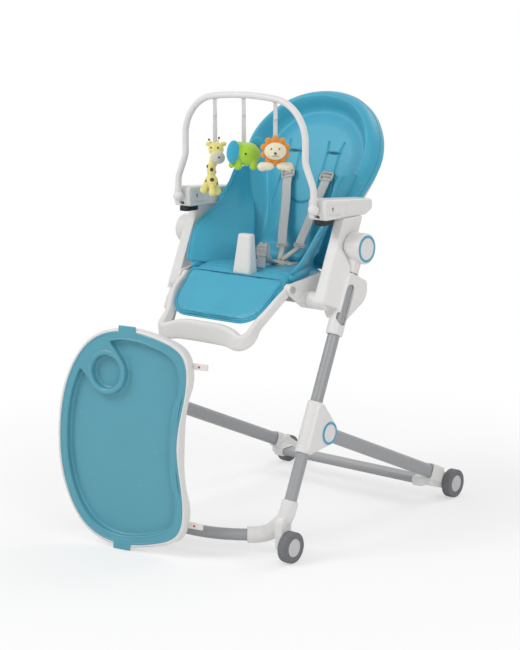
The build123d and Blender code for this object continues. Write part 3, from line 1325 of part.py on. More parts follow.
# Lion: a flat scalloped mane, a round face in front of it, paws below
with BuildPart() as lion_mane:
    with BuildSketch(facing(LION_X, 0, LION_Z, MANE_T / 2)):
        Circle(MANE_R)
        with PolarLocations(MANE_R, MANE_LOBES):
            Circle(MANE_LOBE_R)
    extrude(amount=MANE_T)
save(lion_mane, "lion_mane")
with BuildPart() as lion_head:
    plush(facing(LION_X, 0, LION_Z, -MANE_T / 2), *LION_HEAD)
save(lion_head, "lion_head")
with BuildPart() as lion_paws:
    for sign in (-1, 1):
        plush(
            Plane(
                origin=toy_point(LION_X, sign * PAW_AT[0], -PAW_FRONT, PAW_AT[1]),
                x_dir=TOY_BACK,
                z_dir=(sign * TOY_COS, sign * TOY_SIN, -PAW_DROOP),
            ),
            *PAW,
        )
    add(lion_mane.part, mode=Mode.SUBTRACT)
    add(lion_head.part, mode=Mode.SUBTRACT)
save(lion_paws, "lion_paws")
with BuildPart() as lion_ribbon:
    ribbon(LION_X, LION_Z)
    add(lion_mane.part, mode=Mode.SUBTRACT)
save(lion_ribbon, "lion_ribbon")

# Tray
TURN_SIN = sin(radians(TRAY_TURN))
TURN_COS = cos(radians(TRAY_TURN))
LEAN_SIN = sin(radians(TRAY_LEAN))
LEAN_COS = cos(radians(TRAY_LEAN))
TRAY_PLANE = Plane(
    origin=TRAY_AT,
    x_dir=(TURN_COS, TURN_SIN, 0),
    z_dir=(TURN_SIN * LEAN_COS, -TURN_COS * LEAN_COS, LEAN_SIN),
)


def tray_outline(inset=0.0):
    """The tray's edge, drawn in evenly: bowed front, full sides, rounded horns, hollow rear."""
    front = TRAY_FRONT + inset
    length = TRAY_HORN - TRAY_FRONT - 2 * inset
    half = TRAY_HALF - inset
    with BuildSketch() as outline:
        with BuildLine():
            Spline(
                (front, 0),
                (front + 0.07 * length, 0.55 * half),
                (front + 0.27 * length, 0.91 * half),
                (front + 0.5 * length, half),
                (front + 0.78 * length, 0.95 * half),
                (front + 0.97 * length, 0.81 * half),
                (front + length, 0.6 * half),
                (TRAY_REAR - inset, 0),
                tangents=((0, 1), (0, -1)),
            )
            mirror(about=Plane.XZ)
        make_face()
    return outline.sketch


TONGUE_ROOTS = ((TRAY_HORN - TONGUE_PLUG, TONGUE_AT), (TRAY_HORN - TONGUE_PLUG, -TONGUE_AT))
TONGUE_ALIGN = (Align.MIN, Align.CENTER)
with BuildPart() as tray_base:
    with BuildSketch(TRAY_PLANE):
        add(tray_outline())
    extrude(amount=-TRAY_DEPTH)
    with BuildSketch(TRAY_PLANE.offset(-TRAY_DEPTH)):
        with Locations((TRAY_REAR - BUMP_WIDTH, BUMP_AT), (TRAY_REAR - BUMP_WIDTH, -BUMP_AT)):
            RectangleRounded(BUMP_WIDTH, BUMP_LENGTH, BUMP_WIDTH / 3)
    extrude(amount=-BUMP_DEPTH)
    with BuildSketch(TRAY_PLANE):
        add(tray_outline(TRAY_RIM))
    extrude(amount=-TRAY_POCKET, mode=Mode.SUBTRACT)
    with BuildSketch(TRAY_PLANE.offset(-TRAY_DEPTH)):
        with Locations(*TONGUE_ROOTS):
            Rectangle(TONGUE_PLUG + TONGUE_LENGTH, TONGUE_W + 2 * SOCKET_FIT, align=TONGUE_ALIGN)
    extrude(amount=TONGUE_T, mode=Mode.SUBTRACT)
save(tray_base, "tray_base")

# Locking tongues on the tray's horns
with BuildPart() as tray_tongues:
    with BuildSketch(TRAY_PLANE.offset(-TRAY_DEPTH)):
        with Locations(*TONGUE_ROOTS):
            Rectangle(TONGUE_PLUG + TONGUE_LENGTH, TONGUE_W, align=TONGUE_ALIGN)
    extrude(amount=TONGUE_T)
save(tray_tongues, "tray_tongues")

# Tray insert: a recessed floor inside a flat flange, a ring round the cup well, a clip tab each side
INSERT_SINK = TRAY_POCKET + INSERT_PROUD - INSERT_FLOOR
with BuildPart() as tray_insert:
    with BuildSketch(TRAY_PLANE.offset(INSERT_PROUD)):
        add(tray_outline(TRAY_RIM + SOCKET_FIT))
    extrude(amount=-TRAY_POCKET - INSERT_PROUD)
    with BuildSketch(TRAY_PLANE.offset(INSERT_PROUD)):
        add(tray_outline(TRAY_RIM + INSERT_LEDGE))
        SlotCenterPoint(CUP_BRIDGE, CUP_AT, 2 * (CUP_R + CUP_RING), mode=Mode.SUBTRACT)
    extrude(amount=-INSERT_SINK, mode=Mode.SUBTRACT)
    with BuildSketch(TRAY_PLANE.offset(INSERT_PROUD)):
        with Locations(CUP_AT):
            Circle(CUP_R)
    extrude(amount=-INSERT_SINK, mode=Mode.SUBTRACT)
    with BuildSketch(TRAY_PLANE):
        with Locations((TAB_AT, TRAY_HALF + TAB_REACH)):
            Rectangle(TAB_WIDTH, TRAY_RIM + INSERT_LEDGE, align=(Align.CENTER, Align.MAX))
        mirror(about=Plane.XZ)
    extrude(amount=TAB_T)
save(tray_insert, "tray_insert")
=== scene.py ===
"""Looks of the baby high chair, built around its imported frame.

Sizes below are millimetres unless a name says otherwise, and at() turns them into metres. X = 0 is the
plane of symmetry, +X is the child's left, the chair faces -Y and stands on Z = 0.
"""
from math import atan2, copysign, cos, pi, radians, sin, sqrt, tau

import bmesh
import bpy
import numpy as np
from mathutils import Matrix, Vector
from mathutils.bvhtree import BVHTree


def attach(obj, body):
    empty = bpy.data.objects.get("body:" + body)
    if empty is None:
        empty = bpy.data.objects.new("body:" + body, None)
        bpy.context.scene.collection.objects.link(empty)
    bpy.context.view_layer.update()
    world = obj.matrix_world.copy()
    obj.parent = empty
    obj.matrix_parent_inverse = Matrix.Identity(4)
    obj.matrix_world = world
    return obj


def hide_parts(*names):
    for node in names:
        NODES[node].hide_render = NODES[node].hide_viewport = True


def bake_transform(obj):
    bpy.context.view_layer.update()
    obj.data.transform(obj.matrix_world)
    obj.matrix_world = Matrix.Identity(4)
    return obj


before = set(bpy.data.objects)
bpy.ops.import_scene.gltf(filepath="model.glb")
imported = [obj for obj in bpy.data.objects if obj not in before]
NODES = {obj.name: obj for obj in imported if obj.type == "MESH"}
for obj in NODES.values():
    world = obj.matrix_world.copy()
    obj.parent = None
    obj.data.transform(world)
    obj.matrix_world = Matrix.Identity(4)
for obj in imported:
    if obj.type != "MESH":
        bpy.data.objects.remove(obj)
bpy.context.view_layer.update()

MM = 0.001
SIDES = ((1, "left"), (-1, "right"))

# Camera, fitted to the photograph
CAMERA_AT = (2530.9, -3113.2, 1257.5)
CAMERA_TARGET = (176.6, -248.2, 523.7)
CAMERA_LENS = 96.15
CAMERA_SENSOR = 36.0

# Frame of the front legs
LEG_TILT = 23.8
LEG_FOOT_Y = -269.0
LEG_FOOT_Z = 35.0

# Backrest, set out from the strap slots
BACK_Y = 178.8
BACK_Z = 855.0
BACK_TILT = 26.0
BACK_TOP = 155.0
BACK_BOTTOM = -280.0
BACK_HALF = 190.0
BACK_WAIST_HALF = 140.0
BACK_FOOT_HALF = 130.0
BACK_SHOULDER_DROP = 34.0
BACK_WAIST = -170.0
EGG_SHOULDER = 0.62
FOOT_SLOPE = 0.1
BACK_PAD_T = 8.0
BACK_CROWN = 10.0
RIM_RUN = ((185.0, 26.0), (0.0, 44.0), (-170.0, 22.0), (-310.0, 6.0))
SLOT_X = 58.0
SLOT_LENGTH = 28.0
SLOT_STEP = 54.0

# Wings: front and rear edge of the left one, from the seat up
WING_T = 12.0
WING_FRONT = (
    (154.0, -110.2, 616.0), (164.0, -99.2, 634.0), (171.5, -83.2, 655.0), (177.0, -70.2, 674.0),
    (179.0, -48.2, 696.0), (178.0, -22.2, 714.0), (173.0, -6.2, 726.0), (165.0, 4.8, 737.0),
    (161.0, 16.8, 758.0), (156.0, 41.8, 788.0), (156.0, 57.8, 812.0), (159.0, 69.8, 820.0),
)
WING_REAR = (
    (86.0, 35.8, 590.0), (88.0, 49.8, 628.0), (92.0, 62.8, 664.0), (102.0, 74.8, 700.0), (118.0, 90.8, 730.0),
    (137.0, 102.8, 758.0), (151.0, 112.8, 788.0), (159.0, 118.8, 812.0), (160.0, 120.8, 820.0),
)

# Footrest, set out from its hinge
FOOT_HINGE_Y = -120.2
FOOT_HINGE_Z = 582.0
FOOT_TILT = 49.0

# Toy arch and animals
ARCH_Y = -91.2
ARCH_TOP_Z = 1011.0
ARCH_SHOULDER_Z = 992.0
ARCH_NECK_X = 177.0
ARCH_CROWN_R = 780.0
ARCH_OD = 15.0
TOY_TURN = 39.0
TOY_X = {"giraffe": -86.0, "elephant": 0.0, "lion": 92.0}
TAPE_LOW_Z = {"giraffe": 888.0, "elephant": 893.0, "lion": 908.0}
LION_Z = 886.0

# Tray, set out from its middle and stood on its side edge
TRAY_AT = (-98.5, -402.2, 254.7)
TRAY_TURN = 10.0
TRAY_LEAN = 4.0

# Colours, linear
WHITE = (0.74, 0.73, 0.715)
TUBE_GREY = (0.33, 0.335, 0.345)
STEEL = (0.55, 0.56, 0.57)
TYRE_GREY = (0.15, 0.152, 0.16)
BLACK = (0.012, 0.012, 0.013)
COVER_BLUE = (0.045, 0.37, 0.53)
TRAY_BLUE = (0.095, 0.34, 0.43)
TRIM_BLUE = (0.06, 0.36, 0.53)
WEBBING_GREY = (0.60, 0.605, 0.61)
BUCKLE_BEIGE = (0.50, 0.475, 0.44)
YELLOW = (0.86, 0.77, 0.25)
BROWN = (0.10, 0.045, 0.02)
LIME = (0.40, 0.68, 0.04)
CYAN = (0.03, 0.42, 0.62)
ORANGE = (0.82, 0.29, 0.02)
CREAM = (0.86, 0.80, 0.60)
MUZZLE_GREY = (0.62, 0.61, 0.58)
RED = (0.70, 0.03, 0.02)


# Places


def at(x, y, z):
    """A point in metres from millimetres."""
    return Vector((x, y, z)) * MM


def axes_matrix(origin, x_dir, y_dir, z_dir):
    """Matrix of a frame, in metres."""
    rotation = Matrix((x_dir, y_dir, z_dir)).transposed().to_4x4()
    return Matrix.Translation(at(*origin)) @ rotation


def tilted(origin, degrees):
    """Frame turned about X: its z axis leans back by the angle."""
    c = cos(radians(degrees))
    s = sin(radians(degrees))
    return axes_matrix(origin, (1, 0, 0), (0, c, -s), (0, s, c))


def tray_frame():
    """Frame of the tray: x from front to rear, y from side to side, z out of its top."""
    turn = radians(TRAY_TURN)
    lean = radians(TRAY_LEAN)
    x_dir = Vector((cos(turn), sin(turn), 0))
    z_dir = Vector((sin(turn) * cos(lean), -cos(turn) * cos(lean), sin(lean)))
    return axes_matrix(TRAY_AT, x_dir, z_dir.cross(x_dir), z_dir)


def leaning(y, z, degrees):
    """Frame of a panel that leans back: x across, y up it, z forward of it."""
    c = cos(radians(degrees))
    s = sin(radians(degrees))
    return axes_matrix((0, y, z), (1, 0, 0), (0, s, c), (0, -c, s))


def outward(axes):
    """The z direction of a frame."""
    return axes.to_3x3() @ Vector((0, 0, 1))


LEG_FRAME = tilted((0, LEG_FOOT_Y, LEG_FOOT_Z), LEG_TILT)
TRAY_FRAME = tray_frame()
FOOT_FRAME = leaning(FOOT_HINGE_Y, FOOT_HINGE_Z, FOOT_TILT)
BACK_FRAME = leaning(BACK_Y, BACK_Z, BACK_TILT)


def unit(vector):
    """The vector at length one."""
    vector = np.asarray(vector, float)
    return vector / np.linalg.norm(vector)


def spline(points, start, end, count):
    """Even points along the smooth cubic curve through some points, with given end directions."""
    p = np.array(points, float)
    chord = np.linalg.norm(np.diff(p, axis=0), axis=1)
    knots = np.concatenate(([0.0], np.cumsum(chord)))
    last = len(p) - 1
    matrix = np.zeros((last + 1, last + 1))
    right = np.zeros_like(p)
    matrix[0, 0] = 1.0
    matrix[last, last] = 1.0
    right[0] = unit(start)
    right[last] = unit(end)
    for i in range(1, last):
        before, after = chord[i - 1], chord[i]
        matrix[i, i - 1 : i + 2] = (after, 2 * (before + after), before)
        right[i] = 3 * (after * (p[i] - p[i - 1]) / before + before * (p[i + 1] - p[i]) / after)
    slopes = np.linalg.solve(matrix, right)
    fine = np.linspace(0, knots[-1], 40 * last + 1)
    span = np.clip(np.searchsorted(knots, fine, side="right") - 1, 0, last - 1)
    h = chord[span][:, None]
    t = ((fine - knots[span]) / chord[span])[:, None]
    curve = (
        (2 * t**3 - 3 * t**2 + 1) * p[span]
        + (t**3 - 2 * t**2 + t) * h * slopes[span]
        + (3 * t**2 - 2 * t**3) * p[span + 1]
        + (t**3 - t**2) * h * slopes[span + 1]
    )
    return evened(curve, count)


def evened(points, count):
    """The same line with evenly spaced points."""
    points = np.asarray(points, float)
    run = np.concatenate(([0.0], np.cumsum(np.linalg.norm(np.diff(points, axis=0), axis=1))))
    even = np.linspace(0, run[-1], count)
    return np.stack([np.interp(even, run, points[:, k]) for k in range(points.shape[1])], axis=1)


def smooth_step(value):
    """Zero to one with level ends."""
    t = np.clip(value, 0.0, 1.0)
    return t * t * (3 - 2 * t)


# Materials


def feed(tree, node, inputs):
    """Set a node's inputs to values, or link them from other nodes."""
    for key, value in inputs.items():
        if isinstance(value, bpy.types.NodeSocket):
            tree.links.new(value, node.inputs[key])
        else:
            node.inputs[key].default_value = value


def added(tree, kind, inputs, **settings):
    """A new node with its settings and inputs."""
    node = tree.nodes.new(f"ShaderNode{kind}")
    for key, value in settings.items():
        setattr(node, key, value)
    feed(tree, node, inputs)
    return node


def ramp_between(tree, source, low, high):
    """A value from 0 to 1 carried onto another range."""
    return added(tree, "MapRange", {"Value": source, "To Min": low, "To Max": high}).outputs["Result"]


def noise(tree, place, scale, detail=3.0):
    """Soft noise at a scale per metre."""
    return added(tree, "TexNoise", {"Vector": place, "Scale": scale, "Detail": detail}).outputs["Fac"]


def shaded(colour, share):
    """The colour made lighter or darker."""
    return tuple(min(1.0, c * share) for c in colour)


def tinted(tree, source, colour, dark, light):
    """A colour that wanders between a darker and a lighter share of itself."""
    ends = [(*shaded(colour, share), 1.0) for share in (dark, light)]
    return added(tree, "Mix", {0: source, 6: ends[0], 7: ends[1]}, data_type="RGBA").outputs[2]


def bumped(tree, height, depth, strength):
    """Relief of a real depth in metres."""
    return added(tree, "Bump", {"Height": height, "Distance": depth, "Strength": strength}).outputs["Normal"]


def started(name):
    """A new material, its nodes and its object coordinates."""
    material = bpy.data.materials.new(name)
    material.use_nodes = True
    tree = material.node_tree
    return material, tree, added(tree, "TexCoord", {}).outputs["Object"]


def ended(material, inputs):
    """The material, with the inputs of its shader set."""
    feed(material.node_tree, material.node_tree.nodes["Principled BSDF"], inputs)
    return material


def plastic(name, colour, rough=0.38, grain=1500.0, depth=0.00006):
    """Moulded plastic: faint mottling and a fine spark-eroded grain."""
    material, tree, place = started(name)
    inputs = {
        "Base Color": tinted(tree, noise(tree, place, 9.0), colour, 0.95, 1.04),
        "Roughness": ramp_between(tree, noise(tree, place, 60.0, 5.0), rough - 0.06, rough + 0.07),
        "Normal": bumped(tree, noise(tree, place, grain, 2.0), depth, 0.35),
        "Specular IOR Level": 0.45,
    }
    return ended(material, inputs)


def painted_tube(name, colour):
    """Satin powder coat over steel tube, with a fine orange-peel relief."""
    material, tree, place = started(name)
    peel = noise(tree, place, 700.0, 2.0)
    inputs = {
        "Base Color": tinted(tree, noise(tree, place, 5.0), colour, 0.94, 1.05),
        "Metallic": 0.12,
        "Roughness": ramp_between(tree, peel, 0.30, 0.42),
        "Normal": bumped(tree, peel, 0.00003, 0.15),
    }
    return ended(material, inputs)


def steel(name, colour):
    """Bare turned steel with fine scratches."""
    material, tree, place = started(name)
    scratch = noise(tree, place, 900.0, 4.0)
    inputs = {
        "Base Color": tinted(tree, scratch, colour, 0.85, 1.08),
        "Metallic": 0.9,
        "Roughness": ramp_between(tree, scratch, 0.22, 0.4),
    }
    return ended(material, inputs)


def leatherette(name, colour):
    """Wipe-clean cover: pebbled grain, slight tone changes and soft satin shine."""
    material, tree, place = started(name)
    grain = added(tree, "TexVoronoi", {"Vector": place, "Scale": 620.0}, feature="SMOOTH_F1")
    pebble = grain.outputs["Distance"]
    inputs = {
        "Base Color": tinted(tree, noise(tree, place, 11.0, 4.0), colour, 0.88, 1.08),
        "Roughness": ramp_between(tree, pebble, 0.36, 0.54),
        "Normal": bumped(tree, pebble, 0.00022, 0.28),
        "Specular IOR Level": 0.42,
        "Sheen Weight": 0.08,
        "Sheen Roughness": 0.5,
    }
    return ended(material, inputs)


def woven(name, colour, ribs_scale=520.0):
    """Webbing: crossed ribs of yarn."""
    material, tree, place = started(name)
    yarn = {"Vector": place, "Scale": ribs_scale, "Distortion": 0.6}
    ribs = [added(tree, "TexWave", yarn, bands_direction=way).outputs["Fac"] for way in ("X", "Z")]
    weave = added(tree, "Math", {0: ribs[0], 1: ribs[1]}, operation="MULTIPLY").outputs[0]
    inputs = {
        "Base Color": tinted(tree, weave, colour, 0.80, 1.08),
        "Roughness": 0.78,
        "Normal": bumped(tree, weave, 0.0004, 0.5),
        "Sheen Weight": 0.25,
    }
    return ended(material, inputs)


def plush_pile(name, colour):
    """Short pile: mottled tone and a fuzzy relief."""
    material, tree, place = started(name)
    tuft = noise(tree, place, 420.0, 6.0)
    inputs = {
        "Base Color": tinted(tree, tuft, colour, 0.72, 1.12),
        "Roughness": 0.9,
        "Normal": bumped(tree, tuft, 0.0012, 0.55),
        "Sheen Weight": 0.35,
        "Sheen Roughness": 0.6,
    }
    return ended(material, inputs)


def rubber(name, colour):
    """Matt tyre rubber with dusty scuffs."""
    material, tree, place = started(name)
    dust = noise(tree, place, 130.0, 6.0)
    inputs = {
        "Base Color": tinted(tree, dust, colour, 0.8, 1.25),
        "Roughness": ramp_between(tree, dust, 0.55, 0.8),
        "Normal": bumped(tree, noise(tree, place, 1200.0), 0.0001, 0.4),
    }
    return ended(material, inputs)


MATERIALS = {
    "tube_grey": painted_tube("tube_grey", TUBE_GREY),
    "inner_steel": steel("inner_steel", STEEL),
    "white_plastic": plastic("white_plastic", WHITE),
    "grey_plastic": plastic("grey_plastic", BUCKLE_BEIGE, rough=0.45),
    "blue_trim": plastic("blue_trim", TRIM_BLUE, rough=0.3),
    "wheel_grey": rubber("wheel_grey", TYRE_GREY),
    # Black plastic of the latches, also used as painted shade for the dark inside of the strap slots
    "black_plastic": plastic("black_plastic", BLACK, rough=0.35),
    "blue_cover": leatherette("blue_cover", COVER_BLUE),
    "grey_webbing": woven("grey_webbing", WEBBING_GREY),
    "blue_tray": plastic("blue_tray", TRAY_BLUE, rough=0.24, grain=900.0, depth=0.00003),
    "yellow_plush": plush_pile("yellow_plush", YELLOW),
    "green_plush": plush_pile("green_plush", LIME),
    "blue_plush": plush_pile("blue_plush", CYAN),
    "orange_plush": plush_pile("orange_plush", ORANGE),
    "cream_plush": plush_pile("cream_plush", CREAM),
}
# Painted shade: the cover blue darkened, for the back's piping, the hem lines and the slot bindings, where
# the seams fall in shade
COVER_PAINTED_SHADE = leatherette("cover_shade", shaded(COVER_BLUE, 0.62))
THREAD = woven("cover_thread", shaded(COVER_BLUE, 1.25), 2600.0)
BROWN_FELT = plush_pile("brown_felt", BROWN)
GREY_FELT = plush_pile("grey_felt", MUZZLE_GREY)
BEAD_BLACK = plastic("bead_black", BLACK, rough=0.15)
RED_DOT = plastic("red_dot", RED, rough=0.4)
DISC_GREY = plastic("disc_grey", (0.55, 0.55, 0.56), rough=0.4)
# Painted shade: dark grey for the inside of the armrests' keyholes, where the hole lies in shade
HOLE_PAINTED_SHADE = plastic("hole_painted_shade", (0.16, 0.16, 0.165), rough=0.6)
WHITE_TAPE = woven("white_tape", (0.74, 0.74, 0.74), 900.0)


# Meshes


def linked(name, mesh):
    """A smooth-shaded object in the scene."""
    mesh.shade_smooth()
    thing = bpy.data.objects.new(name, mesh)
    bpy.context.scene.collection.objects.link(thing)
    return thing


def mesh_object(name, vertices, faces):
    """An object from points and faces."""
    mesh = bpy.data.meshes.new(name)
    mesh.from_pydata([tuple(v) for v in vertices], [], faces)
    mesh.validate()
    return linked(name, mesh)


def finished(thing, slot, body, replaced=(), material=None):
    """Give a piece its finish, the solids that it stands for, and its body if it rides on one."""
    thing.data.materials.clear()
    thing.data.materials.append(material or MATERIALS[slot])
    if body:
        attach(thing, body)
    if replaced:
        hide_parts(*replaced)
    return thing


def applied(thing):
    """Turn an object's modifiers into its mesh."""
    graph = bpy.context.evaluated_depsgraph_get()
    mesh = bpy.data.meshes.new_from_object(thing.evaluated_get(graph))
    old = thing.data
    thing.modifiers.clear()
    thing.data = mesh
    bpy.data.meshes.remove(old)
    thing.data.shade_smooth()
    return thing


def weld(mesh, gap=1e-6):
    """Join the points of a mesh that lie on each other, and turn its faces outwards."""
    work = bmesh.new()
    work.from_mesh(mesh)
    bmesh.ops.remove_doubles(work, verts=work.verts, dist=gap)
    bmesh.ops.recalc_face_normals(work, faces=work.faces)
    work.to_mesh(mesh)
    work.free()
    mesh.shade_smooth()


def node_copy(name, node):
    """A new object with a copy of a solid's mesh, joined along its edges."""
    mesh = NODES[node].data.copy()
    mesh.materials.clear()
    weld(mesh)
    return linked(name, mesh)


def remeshed(thing, voxel, rounds, axes=None):
    """Even mesh with softened edges, laid out square to a frame so that its flats stay flat."""
    axes = axes or Matrix.Identity(4)
    thing.data.transform(axes.inverted())
    remesh = thing.modifiers.new("remesh", "REMESH")
    remesh.mode = "VOXEL"
    remesh.voxel_size = voxel * MM
    soften = thing.modifiers.new("soften", "SMOOTH")
    soften.factor = 0.5
    soften.iterations = rounds
    applied(thing)
    thing.data.transform(axes)
    return thing


# The end of a moving piece in its pocket: its share of the full width, and its length
POCKET_SHARE = 0.8
POCKET_DEEP = 5.0


def slim_end(thing, pocket):
    """Draw in the end of a moving piece that lies past its pocket's mouth, so that it moves clear."""
    inverse = pocket.inverted()
    for vertex in thing.data.vertices:
        spot = inverse @ vertex.co
        if spot.z > 0:
            slim = (spot.x * POCKET_SHARE, spot.y * POCKET_SHARE, min(spot.z, POCKET_DEEP * MM))
            vertex.co = pocket @ Vector(slim)


def moulded(node, slot, body, voxel, rounds, axes=None, pocket=None):
    """A plastic moulding: the solid with its edges rounded over."""
    thing = remeshed(node_copy(f"{node}_moulding", node), voxel, rounds, axes)
    if pocket:
        slim_end(thing, pocket)
    return finished(thing, slot, body, (node,))


def ring_faces(start, rows, count, first=True, last=True):
    """Faces through rows of closed rings, the first and last ring capped or left open."""
    top = start + (rows - 1) * count
    faces = []
    for low in range(start, top, count):
        for i in range(count):
            j = (i + 1) % count
            faces.append((low + i, low + j, low + count + j, low + count + i))
    if first:
        faces.append(tuple(reversed(range(start, start + count))))
    if last:
        faces.append(tuple(range(top, top + count)))
    return faces


def skinned(name, rings, first=True, last=True):
    """A mesh through closed rings of equal count."""
    points = [p for ring in rings for p in ring]
    return mesh_object(name, points, ring_faces(0, len(rings), len(rings[0]), first, last))


def carried(points, profile, side, closed=False):
    """Rings of a profile carried along points; its x lies along side and its y across the run."""
    points = [Vector(p) for p in points]
    count = len(points)
    rings = []
    for i, point in enumerate(points):
        before = points[i - 1] if closed or i else point
        after = points[(i + 1) % count] if closed or i < count - 1 else point
        along = (after - before).normalized()
        lie = side[i] if isinstance(side, list) else Vector(side)
        across = (lie - along * lie.dot(along)).normalized()
        normal = along.cross(across)
        rings.append([point + across * a + normal * b for a, b in profile])
    return rings


def round_profile(radius, sides=8):
    """A circle of points, in metres from millimetres."""
    return [(radius * MM * cos(tau * k / sides), radius * MM * sin(tau * k / sides)) for k in range(sides)]


def band_profile(width, thickness):
    """A flat band with soft edges, in metres from millimetres."""
    half = width / 2
    t = thickness / 2
    points = [
        (-half, -t / 2), (t - half, -t), (half - t, -t), (half, -t / 2),
        (half, t / 2), (half - t, t), (t - half, t), (-half, t / 2),
    ]
    return [(a * MM, b * MM) for a, b in points]


def swept(name, points, profile, side, closed=False):
    """A mesh of a profile carried along points."""
    rings = carried(points, profile, side, closed)
    if not closed:
        return skinned(name, rings)
    thing = skinned(name, rings + rings[:1], False, False)
    weld(thing.data)
    return thing


def cord(name, run, radius, side, slot, body, material=None, sides=8, closed=True):
    """A finished round cord along points."""
    return finished(swept(name, run, round_profile(radius, sides), side, closed), slot, body, (), material)


def joined(name, things):
    """One object from several."""
    work = bmesh.new()
    for thing in things:
        mesh = thing.data
        mesh.transform(thing.matrix_world)
        work.from_mesh(mesh)
        bpy.data.objects.remove(thing)
        bpy.data.meshes.remove(mesh)
    mesh = bpy.data.meshes.new(name)
    work.to_mesh(mesh)
    work.free()
    return linked(name, mesh)


STITCH_LENGTH = 3.4
STITCH_GAP = 1.8
STITCH_STEPS = 6
THREAD_R = 0.55
THREAD_SIDES = 5
THREAD_END = 0.4


def stitches(name, points, side):
    """A closed row of thread stitches along points."""
    run = np.array([*points, points[0]])
    total = np.linalg.norm(np.diff(run, axis=0), axis=1).sum() / MM
    number = max(2, int(total / (STITCH_LENGTH + STITCH_GAP)))
    even = evened(run, number * STITCH_STEPS + 1)
    profile = round_profile(THREAD_R, THREAD_SIDES)
    slim = [(a * THREAD_END, b * THREAD_END) for a, b in profile]
    vertices = []
    faces = []
    for k in range(0, number * STITCH_STEPS, STITCH_STEPS):
        dash = [Vector(p) for p in even[k : k + STITCH_STEPS - 1]]
        rings = carried(dash, profile, side)
        rings[0] = carried(dash[:2], slim, side)[0]
        rings[-1] = carried(dash[-2:], slim, side)[-1]
        faces += ring_faces(len(vertices), len(rings), THREAD_SIDES)
        vertices += [p for ring in rings for p in ring]
    return mesh_object(name, vertices, faces)


def laid_on(thing, points, toward, lift=0.0):
    """Points dropped onto a piece along a direction, then lifted off it a little."""
    tree = BVHTree.FromObject(thing, bpy.context.evaluated_depsgraph_get())
    toward = Vector(toward).normalized()
    landed = []
    for point in points:
        start = Vector(point) - toward * 0.2
        hit = tree.ray_cast(start, toward)[0]
        landed.append((hit or Vector(point)) - toward * lift * MM)
    return landed


def ball(radii, centre, turn=None):
    """A closed round form: its three radii, its middle and how it is turned."""
    work = bmesh.new()
    bmesh.ops.create_uvsphere(work, u_segments=28, v_segments=14, radius=1.0)
    mesh = bpy.data.meshes.new("ball")
    work.to_mesh(mesh)
    work.free()
    place = Matrix.Translation(at(*centre)) @ (turn or Matrix.Identity(4))
    mesh.transform(place @ Matrix.Diagonal((*(r * MM for r in radii), 1.0)))
    return linked("ball", mesh)


def stuffed(name, balls, voxel=1.6, rounds=6):
    """A stuffed form: round lumps grown together."""
    return remeshed(joined(name, balls), voxel, rounds)


def lathe(name, profile, axes, count=48):
    """A piece of rings of radius and height, turned about a frame's z axis."""
    angles = [tau * k / count for k in range(count)]
    rings = [[axes @ at(r * cos(a), r * sin(a), height) for a in angles] for r, height in profile]
    return skinned(name, rings)


def facing_x(x, y, z):
    """Frame at a point whose z axis points away from the plane of symmetry."""
    sign = 1 if x >= 0 else -1
    return axes_matrix((x, y, z), (0, sign, 0), (0, 0, 1), (sign, 0, 0))


def inflated(thing, pressure, cap, frames=20):
    """Swell a pad as a closed cloth under pressure, no further than a cap, and keep the result."""
    rest = np.array([v.co for v in thing.data.vertices])
    cloth = thing.modifiers.new("cloth", "CLOTH")
    cloth.settings.use_pressure = True
    cloth.settings.uniform_pressure_force = pressure
    cloth.settings.effector_weights.gravity = 0.0
    cloth.settings.quality = 6
    cloth.point_cache.frame_start = 1
    cloth.point_cache.frame_end = frames
    scene = bpy.context.scene
    for step in range(1, frames + 1):
        scene.frame_set(step)
    applied(thing)
    scene.frame_set(1)
    swollen = np.array([v.co for v in thing.data.vertices])
    move = swollen - rest
    far = np.linalg.norm(move, axis=1, keepdims=True)
    limit = np.minimum(1.0, cap * MM / np.maximum(far, 1e-9))
    thing.data.vertices.foreach_set("co", (rest + move * limit).ravel())
    thing.data.update()
    return thing


def subdivided(thing):
    """Finer and smoother."""
    subdivision = thing.modifiers.new("subdivision", "SUBSURF")
    subdivision.levels = 1
    subdivision.render_levels = 1
    return applied(thing)


# Rigid mouldings, with their edges rounded over


SLOT_NODES = {
    "tube_grey": (
        "front_leg_left", "front_leg_right", "front_cross_tube", "rear_leg_left", "rear_leg_right",
        "rear_cross_bar", "seat_cross_tube",
    ),
    "inner_steel": ("frame_pins", "rear_axles", "footrest_pins"),
    "blue_trim": ("trim_rings",),
    "white_plastic": ("round_caps", "seat_shell", "back_shell", "toy_arch"),
    "wheel_grey": ("front_wheel_left", "front_wheel_right", "rear_wheel_left", "rear_wheel_right"),
}


def finish_solids():
    """Materials on the solids that stay as they are."""
    for slot, nodes in SLOT_NODES.items():
        for node in nodes:
            mesh = NODES[node].data
            mesh.materials.clear()
            mesh.materials.append(MATERIALS[slot])


# Mouths of the pockets that the height buttons (on the legs' frame) and the latches move in
BUTTON_AT = (238.5, 60.0, 602.0)
LATCH_AT = (201.0, -54.2, 737.0)


# Mouldings in pairs: name, body, voxel, rounds of softening, frame
PAIRS = (
    ("front_corner", "front_frame", 1.8, 10, None),
    ("leg_hub", "front_frame", 1.5, 4, LEG_FRAME),
    ("pivot_bracket", "front_frame", 1.5, 8, LEG_FRAME),
    ("rear_end", "rear_frame", 1.6, 8, None),
    ("carriage", "seat", 1.8, 10, LEG_FRAME),
    ("armrest", "seat", 0.9, 5, None),
)


